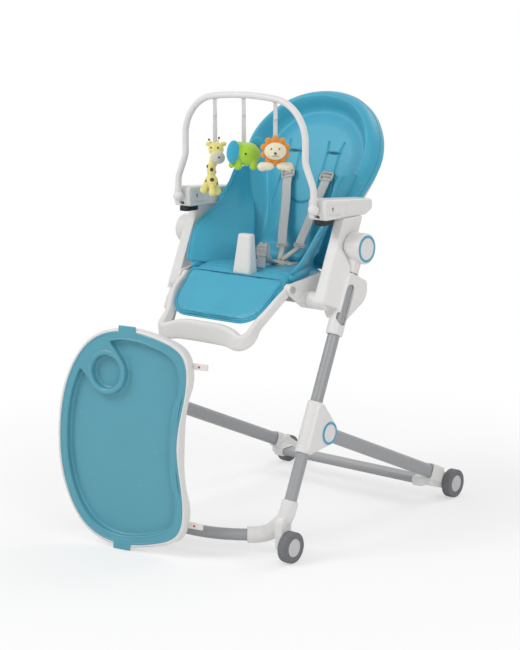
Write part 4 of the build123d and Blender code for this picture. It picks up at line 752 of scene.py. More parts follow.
def make_mouldings():
    """Softened copies of the moulded parts."""
    for sign, hand in SIDES:
        for name, body, voxel, rounds, axes in PAIRS:
            moulded(f"{name}_{hand}", "white_plastic", body, voxel, rounds, axes)
        mouth = Matrix.Translation(at(sign * BUTTON_AT[0], *BUTTON_AT[1:])) @ Matrix.Rotation(tau / 4, 4, "X")
        button = (f"height_button_{hand}", "grey_plastic", f"height_button_{hand}_body", 0.8, 5, LEG_FRAME)
        moulded(*button, pocket=LEG_FRAME @ mouth)
        mouth = Matrix.Translation(at(sign * LATCH_AT[0], *LATCH_AT[1:]))
        moulded(f"tray_latch_{hand}", "black_plastic", f"tray_latch_{hand}_body", 0.8, 6, pocket=mouth)
    moulded("crotch_post", "white_plastic", "seat", 1.4, 8)
    moulded("tray_tongues", "white_plastic", "tray", 0.8, 16, TRAY_FRAME)
    moulded("recline_handle", "grey_plastic", "recline_handle_body", 1.2, 8, BACK_FRAME)
    moulded("tray_base", "white_plastic", "tray", 2.2, 6, TRAY_FRAME)
    moulded("tray_insert", "blue_tray", "tray", 2.0, 8, TRAY_FRAME)


# Back cushion


def egg_half(inset, count):
    """Right half of the back's outline, from its top down to its foot."""
    half = BACK_HALF - inset
    return spline(
        (
            (0, BACK_TOP - inset),
            (half * EGG_SHOULDER, BACK_TOP - inset - BACK_SHOULDER_DROP),
            (half, 0),
            (BACK_WAIST_HALF - inset, BACK_WAIST),
            (BACK_FOOT_HALF - inset, BACK_BOTTOM + inset),
        ),
        (1, 0),
        (-FOOT_SLOPE, -1),
        count,
    )


EGG_SIDE_POINTS = 200
EGG_FOOT_POINTS = 46


def egg_ring(inset):
    """The whole outline as points across and up the back."""
    right = egg_half(inset, EGG_SIDE_POINTS)
    foot = np.linspace(right[-1], (0, BACK_BOTTOM + inset), EGG_FOOT_POINTS)[1:]
    half = np.concatenate((right, foot))
    left = half[-2:0:-1] * (-1, 1)
    return np.concatenate((half, left))


RIM_CURVE = spline(RIM_RUN, (-1, 0.12), (-1, -0.12), 120)


def rim_height(up):
    """How far the rim stands forward at a height."""
    order = np.argsort(RIM_CURVE[:, 0])
    return np.interp(up, RIM_CURVE[order, 0], RIM_CURVE[order, 1])


def distance_to_line(points, line):
    """Distance of many points from a line of points."""
    line = np.asarray(line, float)
    best = np.full(len(points), 1e9)
    for a, b in zip(line[:-1], line[1:]):
        run = b - a
        t = np.clip(((points - a) @ run) / max(run @ run, 1e-9), 0, 1)
        best = np.minimum(best, np.linalg.norm(points - a - t[:, None] * run, axis=1))
    return best


def back_seams():
    """Lines of the sewn channels in the back: round the slots and across below them."""
    inner = SLOT_X - SLOT_LENGTH / 2 - 4
    outer = SLOT_X + SLOT_LENGTH / 2 + 4
    low = -SLOT_STEP * 2.1
    seams = []
    for sign in (-1, 1):
        for x, lean in ((inner, -4), (outer, 5)):
            seams.append([(sign * (x + lean), 26), (sign * x, 4), (sign * x, -SLOT_STEP - 4)])
        for row in (0, 1):
            seams.append([(sign * inner, -row * SLOT_STEP), (sign * outer, -row * SLOT_STEP)])
        seams.append([(sign * inner, -SLOT_STEP), (sign * inner, low)])
        seams.append([(sign * outer, -SLOT_STEP), (sign * (outer + 10), low - 24)])
    smile = [(x, low - 16 * (1 - (x / inner) ** 2)) for x in np.linspace(-inner, inner, 13)]
    seams.append(smile)
    return seams


SEAM_DEPTH = 4.6
SEAM_HALF = 2.2
RIM_SLOPE_FROM = 17.0
RIM_SLOPE_TO = 52.0
PAD_LOW = 2.0
RIM_ROUND = 22.0
RIM_ROUND_SHARE = 0.62
RIM_CROWN = 1.2
RIM_CROWN_WIDE = 26.0
PAD_FROM = 40.0
PAD_RUN = 50.0


def back_front(points):
    """How far the back's surface stands forward at points across and up it."""
    outline = egg_ring(0)
    inset = distance_to_line(points, np.concatenate((outline, outline[:1])))
    rim = rim_height(points[:, 1])
    slope = smooth_step((inset - RIM_SLOPE_FROM) / (RIM_SLOPE_TO - RIM_SLOPE_FROM))
    pad = PAD_LOW + (BACK_CROWN - PAD_LOW) * smooth_step((inset - PAD_FROM) / PAD_RUN)
    crown = RIM_CROWN * np.sin(np.clip(inset / RIM_CROWN_WIDE, 0, 1) * pi)
    out = np.clip(1 - inset / RIM_ROUND, 0, 1)
    edge = RIM_ROUND_SHARE * (rim + BACK_PAD_T) * (1 - np.sqrt(1 - out**2))
    front = (rim + crown) * (1 - slope) + pad * slope - edge
    for seam in back_seams():
        near = distance_to_line(points, seam)
        front -= SEAM_DEPTH * np.exp(-((near / SEAM_HALF) ** 2)) * slope
    return front


def on_back(points, lift=0.0):
    """Points across and up the back, as places on its surface."""
    points = np.asarray(points, float)
    front = back_front(points) + lift
    return [BACK_FRAME @ at(x, up, f) for (x, up), f in zip(points, front)]


# Rings of the back: its foot, shares of its side, insets of its front, and steps to its middle line
BACK_FLAT_INSET = 3.0
BACK_SIDE_SHARES = (0.08, 0.5, 0.85)
BACK_SIDE_BULGE = 0.004
BACK_INSETS = (
    0.0, 0.15, 0.5, 0.9, 1.5, 2.4, 3.5, 5.0, 7.0, 9.0, 11.5, 14.0, 16.5, 19.0,
    22.0, 26.0, 30.0, 34.0, 38.0, 43.0, 48.0, 52.0,
)
BACK_STEPS = 72
BACK_MIDDLE_LOW = -190.0
BACK_MIDDLE_LONG = 230.0
BACK_PIPING_R = 0.8
BACK_PIPING_INSET = 0.0
BACK_PIPING_LIFT = 0.2
STITCH_INSET = 0.9
STITCH_LIFT = 0.3


def make_back():
    """The back cushion with its rim, piping, seams and strap slots."""
    rings = [[BACK_FRAME @ at(x, up, -BACK_PAD_T) for x, up in egg_ring(BACK_FLAT_INSET)]]
    outline = egg_ring(0)
    sides = list(zip(outline, back_front(outline) + BACK_PAD_T))
    for share in BACK_SIDE_SHARES:
        bulge = 1.0 + BACK_SIDE_BULGE * sin(share * pi)
        rings.append([BACK_FRAME @ at(x * bulge, up, deep * share - BACK_PAD_T) for (x, up), deep in sides])
    for inset in BACK_INSETS:
        rings.append(on_back(egg_ring(inset)))
    last = egg_ring(BACK_INSETS[-1])
    spread = (last[:, 1] - BACK_BOTTOM) / (BACK_TOP - BACK_BOTTOM)
    middle = np.stack((np.zeros(len(last)), BACK_MIDDLE_LOW + BACK_MIDDLE_LONG * spread), axis=1)
    for step in range(1, BACK_STEPS + 1):
        share = step / BACK_STEPS
        rings.append(on_back(last * (1 - share) + middle * share))
    back = skinned("back_pad", rings, last=False)
    weld(back.data, 1e-5)
    finished(back, "blue_cover", "backrest", ("back_cushion",))

    normal = outward(BACK_FRAME)
    edge = on_back(egg_ring(BACK_PIPING_INSET), BACK_PIPING_LIFT)
    # The piping is in the painted-shade cover, for the shade along the back's edge seam
    cord("back_piping", edge, BACK_PIPING_R, normal, "blue_cover", "backrest", COVER_PAINTED_SHADE)
    row = stitches("back_stitches", on_back(egg_ring(STITCH_INSET), STITCH_LIFT), normal)
    finished(row, "blue_cover", "backrest", material=THREAD)
    for sign, hand in SIDES:
        for step, level in enumerate(("upper", "lower")):
            make_slot(f"strap_slot_{level}_{hand}", sign * SLOT_X, -step * SLOT_STEP, normal)


SLIT_HALF = (0.49 * SLOT_LENGTH, 2.6)
SLIT_LIFTS = (-1.0, 0.6)
BINDING_R = 1.3
BINDING_LIFT = 1.0


def make_slot(name, x, up, normal):
    """A bound strap slot in the back: a black cap in the slit, painted shade for the dark inside of the hole,
    with a rolled edge in the painted-shade cover.
    """
    angles = np.linspace(0, tau, 25)[:-1]
    ring = [(x + SLIT_HALF[0] * cos(a), up + SLIT_HALF[1] * sin(a)) for a in angles]
    edge = on_back(ring, BINDING_LIFT)
    cord(f"{name}_binding", edge, BINDING_R, normal, "blue_cover", "backrest", COVER_PAINTED_SHADE)
    # The slit is painted shade: a black cap standing in for the dark inside of the slot's hole
    finished(skinned(name, [on_back(ring, lift) for lift in SLIT_LIFTS]), "black_plastic", "backrest")


# Wings, seat and calf pads


WING_ROWS = 60
WING_ACROSS = 26
WING_HEM = 9.0
# Shares of a wing's thickness: its flat, what its middle adds, its hem's line, how deep the hem draws in
WING_FLAT = 0.36
WING_SWELL = 0.2
WING_SWELL_RUN = 40.0
WING_HEM_SHARE = 0.24
WING_GROOVE = 0.272
WING_GROOVE_HALF = 2.2
WING_ROUND = 5.0
WING_EDGE = 0.04
PIPING_R = 2.2
HEM_R = 0.9


def wing_depth(near):
    """Half thickness of a wing at a distance from its nearer edge."""
    puff = sqrt(min(1.0, near / WING_ROUND + WING_EDGE))
    groove = WING_GROOVE * np.exp(-(((near - WING_HEM) / WING_GROOVE_HALF) ** 2))
    swell = WING_FLAT + WING_SWELL * float(smooth_step((near - WING_HEM) / WING_SWELL_RUN))
    return WING_T * swell * (puff - groove)


def mirrored(sign, points):
    """Places of points, on their own side or on the other."""
    return [at(sign * x, y, z) for x, y, z in points]


def make_wings():
    """Padded side panels with a piped edge and a stitched hem."""
    front = spline(WING_FRONT, (0.4, 0.4, 1), (0.2, 1, 0.5), WING_ROWS)
    rear = spline(WING_REAR, (0.1, 0.4, 1), (0, 0.3, 1), WING_ROWS)
    shares = np.linspace(0, 1, WING_ACROSS)
    there_and_back = [(1, s) for s in shares] + [(-1, s) for s in shares[::-1]]
    rings = []
    hems = {1: [], -1: []}
    for a, b in zip(front, rear):
        length = np.linalg.norm(b - a)
        along = (b - a) / length
        across = unit((along[1], -along[0], 0.0))
        rings.append(
            [
                a + along * s * length + across * face * wing_depth(min(s, 1 - s) * length)
                for face, s in there_and_back
            ]
        )
        for face in hems:
            inset = min(WING_HEM, 0.5 * length)
            hems[face].append(a + along * inset + across * face * WING_T * WING_HEM_SHARE)
    for sign, hand in SIDES:
        wing = skinned(f"wing_{hand}", [mirrored(sign, ring) for ring in rings])
        weld(wing.data)
        finished(wing, "blue_cover", None, ("side_wings",))
        line = (f"wing_piping_{hand}", mirrored(sign, front), PIPING_R, (1, 0, 0))
        pieces = [wing, cord(*line, "blue_cover", None, closed=False)]
        for face, word in ((1, "outer"), (-1, "inner")):
            # The hem lines are cords in the painted-shade cover, for the shade in the hem's groove
            line = (f"wing_hem_{word}_{hand}", mirrored(sign, hems[face]), HEM_R, (1, 0, 0))
            pieces.append(cord(*line, "blue_cover", None, COVER_PAINTED_SHADE, 6, closed=False))
        for piece in pieces:
            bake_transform(piece)


SEAT_FLARE = 0.06
SEAT_FLARE_Y = 70.0
SEAT_FLARE_RUN = 35.0


def make_seat():
    """The seat cushion, swollen as cloth."""
    seat = remeshed(node_copy("seat_pad", "seat_cushion"), 5.0, 3)
    for vertex in seat.data.vertices:
        forward = (-SEAT_FLARE_Y - vertex.co.y / MM) / SEAT_FLARE_RUN
        vertex.co.x *= 1.0 + SEAT_FLARE * float(smooth_step(forward))
    inflated(seat, 3.0, 5.0)
    subdivided(seat)
    finished(seat, "blue_cover", "seat", ("seat_cushion",))


CALF_HEM = 8.0
CALF_HEM_LIFT = 0.1
CALF_TOP_HALF = 143.0
CALF_END_HALF = 131.0
CALF_TOP = 20.0
CALF_END = 115.0
CALF_CORNER = 60.0
CALF_TOP_R = 10.0
CALF_LOW = -1.0
CALF_T = 11.0
CALF_THIN = 5.0
CALF_LEAST_R = 4.0
# Where the pad begins to thin towards the hinge, over what length, and how far its thin part lies out
CALF_THIN_FROM = -12.0
CALF_THIN_RUN = 30.0
CALF_THIN_OUT = 3.0
# Rings of the pad: inset from its outline, and share of its half thickness
CALF_RINGS = ((40, -0.9), (6, -0.9), (1.5, -0.7), (0, 0), (1.5, 0.7), (6, 0.9), (40, 0.9))


def rounded_corner(before, corner, after, radius, count=9):
    """Points of a round corner between two straight runs."""
    before, corner, after = (np.array(p, float) for p in (before, corner, after))
    u = unit(before - corner)
    v = unit(after - corner)
    half = np.arccos(np.clip(u @ v, -1, 1)) / 2
    centre = corner + unit(u + v) * radius / sin(half)
    first = corner + u * radius / np.tan(half)
    last = corner + v * radius / np.tan(half)
    start = atan2(*(first - centre)[::-1])
    sweep_by = (atan2(*(last - centre)[::-1]) - start + pi) % tau - pi
    angles = start + sweep_by * np.linspace(0, 1, count)
    return [centre + radius * np.array((cos(a), sin(a))) for a in angles]


def rounded_loop(corners, radii, count=9):
    """Points round a closed shape, each corner with its own radius."""
    points = []
    for k, radius in enumerate(radii):
        points += rounded_corner(corners[k - 1], corners[k], corners[(k + 1) % len(corners)], radius, count)
    return points


def calf_outline(inset):
    """Outline of the calf pad across and up the footrest."""
    corners = (
        (inset - CALF_TOP_HALF, CALF_TOP - inset),
        (inset - CALF_END_HALF, inset - CALF_END),
        (CALF_END_HALF - inset, inset - CALF_END),
        (CALF_TOP_HALF - inset, CALF_TOP - inset),
    )
    radii = (CALF_TOP_R, CALF_CORNER, CALF_CORNER, CALF_TOP_R)
    points = rounded_loop(corners, [max(CALF_LEAST_R, r - inset) for r in radii])
    return evened([*points, points[0]], 200)[:-1]


def calf_face(up, side):
    """How far the pad's front or back lies off the footrest: thinner above the hinge, where it folds."""
    share = float(smooth_step((up - CALF_THIN_FROM) / CALF_THIN_RUN))
    middle = CALF_LOW + CALF_T / 2 + CALF_THIN_OUT * share
    return middle + side * (CALF_T * (1 - share) + CALF_THIN * share) / 2


def make_calf():
    """The calf pad, swollen as cloth, with a piped edge and a stitched hem."""
    rings = [
        [FOOT_FRAME @ at(x, up, calf_face(up, side)) for x, up in calf_outline(inset)]
        for inset, side in CALF_RINGS
    ]
    calf = remeshed(skinned("calf_flap", rings), 3.0, 3, FOOT_FRAME)
    inflated(calf, 3.0, 3.5)
    subdivided(calf)
    finished(calf, "blue_cover", None, ("calf_pad",))
    normal = outward(FOOT_FRAME)
    edge = [FOOT_FRAME @ at(x, up, calf_face(up, 0.1)) for x, up in calf_outline(1.0)]
    piping = cord("calf_piping", edge, PIPING_R, normal, "blue_cover", None)
    over = [FOOT_FRAME @ at(x, up, 0.0) for x, up in calf_outline(CALF_HEM)]
    hem = laid_on(calf, over, -normal, CALF_HEM_LIFT)
    # The hem line is a cord in the painted-shade cover, for the shade in the hem's groove
    line = cord("calf_hem", hem, HEM_R, normal, "blue_cover", None, COVER_PAINTED_SHADE, 6)
    for piece in (calf, piping, line):
        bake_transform(piece)


# Foot frame, from the middle of its bar to the left hinge: place, half thickness, half height, way it faces
FOOT_RUN = (
    (0.0, -230.0, 483.0, 10.0, 24.0, 0.0), (50.0, -232.0, 483.0, 10.0, 24.0, 0.0),
    (90.0, -238.0, 478.0, 10.0, 21.0, 8.0), (114.0, -241.0, 474.0, 10.0, 18.0, 35.0),
    (127.0, -231.0, 481.0, 10.0, 16.0, 65.0), (130.0, -208.0, 503.0, 8.0, 13.5, 85.0),
    (141.0, -182.0, 531.0, 7.0, 12.0, 90.0), (151.5, -152.0, 560.0, 6.4, 11.5, 90.0),
    (153.6, -120.2, 582.0, 6.0, 11.0, 90.0),
)
FOOT_POINTS = 90
FOOT_BOSS_X = 147.8
FOOT_BOSS = ((0.1, 0.0), (11.5, 0.0), (12.5, 1.0), (12.5, 10.6), (11.5, 11.6), (0.1, 11.6))
# The plate under the pad: half width, lower and upper edge, back and front
FOOT_PLATE = (146.0, -60.0, -16.0, -7.0, -3.0)


def make_foot_frame():
    """The footrest's arms and bar as one bent moulding, with its hinge bosses and the plate under the pad."""
    table = np.array(FOOT_RUN)
    half = spline(table[:, :3], (1, 0, 0), (0.05, 0.75, 0.65), FOOT_POINTS)
    marks = [int(np.argmin(np.linalg.norm(half - row[:3], axis=1))) for row in table]
    thick, high, faces = (np.interp(range(FOOT_POINTS), marks, table[:, k]) for k in (3, 4, 5))
    rings = []
    for sign in (-1, 1):
        order = range(FOOT_POINTS - 1, 0, -1) if sign < 0 else range(FOOT_POINTS)
        for i in order:
            before = half[max(i - 1, 0)]
            after = half[min(i + 1, FOOT_POINTS - 1)]
            run = unit(after - before if i else (1, 0, 0)) * (sign, 1, 1) * sign
            angle = radians(faces[i])
            out = np.array((sign * sin(angle), -cos(angle), 0.0))
            out = unit(out - run * (out @ run))
            rise = np.cross(run, out)
            centre = half[i] * (sign, 1, 1)
            ring = [centre + out * a + rise * b for a, b in soft_box(thick[i], high[i], 32)]
            rings.append([at(*p) for p in ring])
    parts = [skinned("part", rings)]
    for sign in (-1, 1):
        parts.append(lathe("part", FOOT_BOSS, facing_x(sign * FOOT_BOSS_X, FOOT_HINGE_Y, FOOT_HINGE_Z)))
    half_x, low, high_up, under, over = FOOT_PLATE
    corners = [(-half_x, low), (half_x, low), (half_x, high_up), (-half_x, high_up)]
    parts.append(skinned("part", [[FOOT_FRAME @ at(x, up, g) for x, up in corners] for g in (under, over)]))
    frame_piece = remeshed(joined("footrest_frame_moulding", parts), 1.7, 5, FOOT_FRAME)
    finished(frame_piece, "white_plastic", "footrest", ("footrest_frame",))


# Rolls of the seat's sides, under the wings
ROLL_RUN = ((147.0, -108.0, 604.0), (141.0, -62.0, 605.0), (120.0, -8.0, 605.0), (95.0, 34.0, 602.0))
ROLL_HALF = (8.0, 13.0)
ROLL_POINTS = 40
ROLL_SIDES = 24
ROLL_END = 6
ROLL_END_LEAST = 0.02


def make_rolls():
    """A padded roll along each side of the seat."""
    run = spline(ROLL_RUN, (-0.05, 1, 0), (-0.5, 0.8, 0), ROLL_POINTS)
    last = ROLL_POINTS - 1
    rings = []
    for i, p in enumerate(run):
        along = unit(run[min(i + 1, last)] - run[max(i - 1, 0)])
        near = min(i, last - i, ROLL_END) / ROLL_END
        end = sqrt(max(ROLL_END_LEAST, 1 - (1 - near) ** 2))
        across = unit(np.cross(along, (0, 0, 1))) * ROLL_HALF[0] * end
        rise = np.array((0, 0, ROLL_HALF[1] * end))
        angles = [tau * k / ROLL_SIDES for k in range(ROLL_SIDES)]
        rings.append([p + across * cos(a) + rise * sin(a) for a in angles])
    for sign, hand in SIDES:
        roll = skinned(f"seat_roll_{hand}", [mirrored(sign, ring) for ring in rings])
        weld(roll.data)
        finished(roll, "blue_cover", "seat")


# Harness


STRAP_WIDTH = 25.0
STRAP_T = 2.0
# Where a strap leaves its slot: aside of it, up from it and forward of the pad
STRAP_TOP = ((0.0, 0.0, -6.0), (6.0, 0.0, 5.0), (9.0, -9.0, 9.0))
STRAP_LOWS = {"left": (57.0, 44.0, 650.0), "right": (6.0, 44.0, 646.0)}
# Shares of the way down, and how far the strap stands forward there
STRAP_BULGES = ((0.3, 2.5), (0.62, 3.5), (0.84, 5.0))
CLIP_FACES = (0.25, -1, 0.4)
PRONG_SHARES = (0.0, 0.45, 0.9)
PRONG_RISE = 10.0
# Sliders: width, length, thickness of their bars
STRAP_SLIDER = (40.0, 26.0, 6.5)
STRAP_CLIP = (33.0, 15.0, 6.0)
BELT_SLIDER = (34.0, 20.0, 5.0)
POST_SLIDER = (28.0, 30.0, 8.0)
SLIDER_ROUND = 4.0
BAR_FLAT = 0.7
BELT_Y = 10.0
BELT_Z = 606.3
BELT_HALF = 78.0
BELT_START = 22.0
WEBBING_T = 2.2
# Shares of the way along the belt, and how far it lies back and up there
BELT_RUN = ((0.0, 0.0, 7.0), (0.3, 1.0, 8.0), (0.7, 4.0, 4.0), (1.0, 8.0, 2.0))
BUCKLE_X = 24.0
BUCKLE_HALF = (28.0, 18.0)
# Rings of the buckle: share of its outline, height
BUCKLE_RINGS = ((0.1, 0.5), (0.75, 0.5), (0.98, 1.5), (1.0, 5.0), (0.95, 9.0), (0.8, 11.6), (0.1, 12.6))
POST_STRAP = (
    (22.0, -58.0, 610.0), (23.0, -57.0, 632.0), (24.0, -54.0, 660.0), (26.0, -49.0, 664.0),
    (26.0, -44.0, 646.0), (25.0, -32.0, 624.0), (24.0, -8.0, 614.0),
)
POST_STRAP_W = 20.0
POST_SLIDER_AT = (24.0, -57.0, 650.0)
ACROSS_POST = (0.78, 0.63, 0.0)


def slider(name, centre, along, normal, body, size):
    """A webbing slider: a rounded frame with a middle bar."""
    width, length, bar = size
    along = Vector(along).normalized()
    normal = Vector(normal).normalized()
    across = along.cross(normal).normalized()
    middle = at(*centre)
    profile = [(a, b * BAR_FLAT) for a, b in round_profile(bar / 2, 10)]
    half_w = width / 2 - bar / 2
    half_l = length / 2 - bar / 2
    corners = [(-half_w, -half_l), (half_w, -half_l), (half_w, half_l), (-half_w, half_l)]
    ring = rounded_loop(corners, (SLIDER_ROUND,) * 4, 6)
    loop = [middle + across * p[0] * MM + along * p[1] * MM for p in ring]
    ends = [middle + across * half_w * s * MM for s in (-1, 1)]
    parts = [swept("part", loop, profile, normal, closed=True), swept("part", ends, profile, normal)]
    finished(joined(name, parts), "grey_plastic", body)


def make_straps():
    """Shoulder straps with their sliders and end clips."""
    forward = np.array(outward(BACK_FRAME))
    for sign, hand in SIDES:
        points = [
            np.array(BACK_FRAME @ at(sign * SLOT_X + aside, up - SLOT_STEP, BACK_CROWN + out)) / MM
            for aside, up, out in STRAP_TOP
        ]
        bend = points[-1]
        low = np.array(STRAP_LOWS[hand])
        points += [bend + (low - bend) * share + forward * bulge for share, bulge in STRAP_BULGES]
        line = spline([*points, low], forward, (0, 0.25, -1), 70)
        run = [at(*p) for p in line]
        strap = swept(f"shoulder_strap_{hand}", run, band_profile(STRAP_WIDTH, STRAP_T), (1, 0, 0))
        finished(strap, "grey_webbing", "backrest", ("shoulder_straps",))
        slider(f"strap_slider_{hand}", bend + forward * 2, low - bend, forward, "backrest", STRAP_SLIDER)
        slider(f"strap_clip_{hand}", line[-2], line[-1] - line[-5], CLIP_FACES, "backrest", STRAP_CLIP)
        reach = np.array((BUCKLE_X, BELT_Y, BELT_Z + PRONG_RISE)) - low
        prong_line = [at(*(low + reach * share)) for share in PRONG_SHARES]
        prong = swept(f"strap_prong_{hand}", prong_line, band_profile(14, 6), (1, 0, 0))
        finished(prong, "grey_plastic", "backrest")


def make_belt():
    """Waist belt with its buckle, and the strap adjuster beside the post."""
    belts = []
    for sign in (-1, 1):
        start = BUCKLE_X + sign * BELT_START
        reach = sign * BELT_HALF - start
        run = [(start + reach * share, BELT_Y + back, BELT_Z + up) for share, back, up in BELT_RUN]
        even = spline(run, (sign, 0, 0.1), (sign, 0.3, -0.1), 16)
        band = band_profile(STRAP_WIDTH, WEBBING_T)
        belts.append(swept("belt", [at(*p) for p in even], band, (0, 1, 0)))
    finished(joined("waist_webbing", belts), "grey_webbing", "seat", ("waist_belt",))
    outline = soft_box(*BUCKLE_HALF, 48)
    rings = [
        [at(BUCKLE_X + x * share, BELT_Y + y * share, BELT_Z + height) for x, y in outline]
        for share, height in BUCKLE_RINGS
    ]
    finished(skinned("waist_buckle", rings), "grey_plastic", "seat")
    for hand, x, back, up in (("left", 58, 4, 7), ("right", -22, 3, 8)):
        place = (x, BELT_Y + back, BELT_Z + up)
        slider(f"belt_slider_{hand}", place, (1, 0, 0), (0, 0, 1), "seat", BELT_SLIDER)
    loop = [at(*p) for p in spline(POST_STRAP, (0.1, 0.2, 1), (0.1, 1, -0.3), 40)]
    webbing = swept("post_webbing", loop, band_profile(POST_STRAP_W, WEBBING_T), ACROSS_POST)
    finished(webbing, "grey_webbing", "seat")
    slider("post_slider", POST_SLIDER_AT, (0.04, 0.1, 1), (0.62, -0.78, 0.1), "seat", POST_SLIDER)


SOFTNESS = 0.55


def soft_box(half_x, half_y, count):
    """Points round a rectangle with soft sides and round corners."""
    points = []
    for k in range(count):
        c = cos(tau * k / count)
        s = sin(tau * k / count)
        points.append((half_x * copysign(abs(c) ** SOFTNESS, c), half_y * copysign(abs(s) ** SOFTNESS, s)))
    return points


# Wheels
WHEEL_X = 251.0
WHEEL_W = 22.0
WHEEL_R = 35.0
FRONT_AXLE_Y = -245.6
REAR_AXLE_Y = 402.6
DISC_SINK = 1.6
DISC_RINGS = (
    (0.2, 0.0), (20.6, 0.0), (20.7, 1.0), (19.8, 1.7), (16.0, 2.0),
    (15.0, 1.5), (14.0, 1.9), (5.0, 2.3), (0.2, 2.4),
)


def make_wheel_faces():
    """Light face discs set in the wheels."""
    for name, y in (("front_wheel", FRONT_AXLE_Y), ("rear_wheel", REAR_AXLE_Y)):
        for sign, hand in SIDES:
            axes = facing_x(sign * (WHEEL_X + WHEEL_W - DISC_SINK), y, WHEEL_R)
            disc = lathe(f"{name}_disc_{hand}", DISC_RINGS, axes)
            finished(disc, "grey_plastic", f"{name}_{hand}_body", material=DISC_GREY)


# Tray: the beads on its rim and on the insert's edges, the cup ring's lip and the marks on the tongues
TRAY_FRONT = -174.0
TRAY_REAR = 152.0
TRAY_HORN = 172.0
TRAY_HALF = 248.0
TRAY_DEPTH = 26.0
TRAY_RIM = 7.0
INSERT_LEDGE = 19.0
INSERT_PROUD = 1.0
BEAD_R = 2.6
BEAD_SINK = 1.5
BEAD_INSET = 2.3
BEAD_POINTS = 140
CUP_AT = (-45.0, 145.0)
CUP_BRIDGE = (-78.0, 182.0)
CUP_R = 38.0
CUP_RING = 13.0
LIP_FLAT = 0.5
LIP_INSET = 0.3
LIP_RISE = 0.2
TONGUE_AT = 178.0
TONGUE_T = 6.0
DOT_OUT = 13.0
DOT_RINGS = ((0.1, -0.4), (2.8, -0.4), (2.8, 0.3), (2.4, 0.5), (0.1, 0.5))
# The tray's side from the middle of its front to a horn, as shares of its length and half width
TRAY_SIDE = ((0, 0), (0.07, 0.55), (0.27, 0.91), (0.5, 1), (0.78, 0.95), (0.97, 0.81), (1, 0.6))


def tray_edge(inset):
    """The tray's edge, drawn in evenly: points on its plane, once round from the front."""
    front = TRAY_FRONT + inset
    length = TRAY_HORN - TRAY_FRONT - 2 * inset
    half = TRAY_HALF - inset
    run = [(front + share * length, wide * half) for share, wide in TRAY_SIDE] + [(TRAY_REAR - inset, 0)]
    side = spline(run, (0, 1), (0, -1), BEAD_POINTS)
    return np.concatenate((side, (side * (1, -1))[-2:0:-1]))


def drawn_in(points, inset):
    """A closed edge moved square to itself, inwards where the inset is positive."""
    along = np.roll(points, -1, axis=0) - np.roll(points, 1, axis=0)
    along = along / np.linalg.norm(along, axis=1)[:, None]
    return points + inset * np.stack((along[:, 1], -along[:, 0]), axis=1)


def off_cup(points):
    """The run of points of a closed edge that keeps clear of the cup ring and its bridge."""
    base = np.array(CUP_BRIDGE)
    reach = np.array(CUP_AT) - base
    share = np.clip((points - base) @ reach / (reach @ reach), 0, 1)
    clear = np.linalg.norm(points - base - share[:, None] * reach, axis=1) > CUP_R + CUP_RING - BEAD_R
    start = next(i for i in range(len(points)) if clear[i] and not clear[i - 1])
    return np.roll(points, -start, axis=0)[np.roll(clear, -start)]


def tray_bead(name, slot, points, height, closed=True):
    """A rolled bead on a top face of the tray."""
    run = [TRAY_FRAME @ at(x, y, height - BEAD_SINK) for x, y in points]
    cord(name, run, BEAD_R, outward(TRAY_FRAME), slot, "tray", None, 12, closed)


def make_tray_details():
    """Rolled beads on the rim, the insert and its cup ring, and a red dot on each tongue."""
    middle = CUP_R + CUP_RING / 2
    ring = [
        TRAY_FRAME @ at(CUP_AT[0] + middle * cos(a), CUP_AT[1] + middle * sin(a), LIP_RISE)
        for a in np.linspace(0, tau, 73)[:-1]
    ]
    profile = [(a * LIP_FLAT, b) for a, b in round_profile(CUP_RING / 2 - LIP_INSET, 16)]
    lip = swept("cup_lip", ring, profile, outward(TRAY_FRAME), closed=True)
    finished(lip, "blue_tray", "tray")
    pocket = tray_edge(TRAY_RIM)
    ledge = drawn_in(tray_edge(TRAY_RIM + INSERT_LEDGE), -BEAD_INSET)
    tray_bead("tray_rim_bead", "white_plastic", drawn_in(pocket, -BEAD_INSET), 0.0)
    tray_bead("insert_bead_outer", "blue_tray", drawn_in(pocket, BEAD_INSET), INSERT_PROUD)
    tray_bead("insert_bead_inner", "blue_tray", off_cup(ledge), INSERT_PROUD, closed=False)
    for sign, hand in ((1, "upper"), (-1, "lower")):
        place = at(TRAY_HORN + DOT_OUT, sign * TONGUE_AT, TONGUE_T - TRAY_DEPTH)
        dot = lathe(f"tongue_dot_{hand}", DOT_RINGS, TRAY_FRAME @ Matrix.Translation(place), 24)
        finished(dot, "white_plastic", "tray", material=RED_DOT)


# Armrests: the beads round their side panels and the keyholes in them
KEYHOLE_Y = -52.2
KEYHOLE_Z = 763.0
KEYHOLE_R = 2.6
KEYHOLE_LEG = (1.2, 3.6)
KEYHOLE_DROP = 3.5
KEYHOLE_DEPTHS = (-1.6, -0.7)
ARM_FACES = ((176.0, "inner", -1), (226.0, "outer", 1))
PANEL = ((-72.0, 750.0), (-2.0, 746.0), (-2.0, 771.0), (-72.0, 776.0))
PANEL_ROUNDS = (11.0, 4.0, 4.0, 11.0)
PANEL_BEAD_R = 1.1


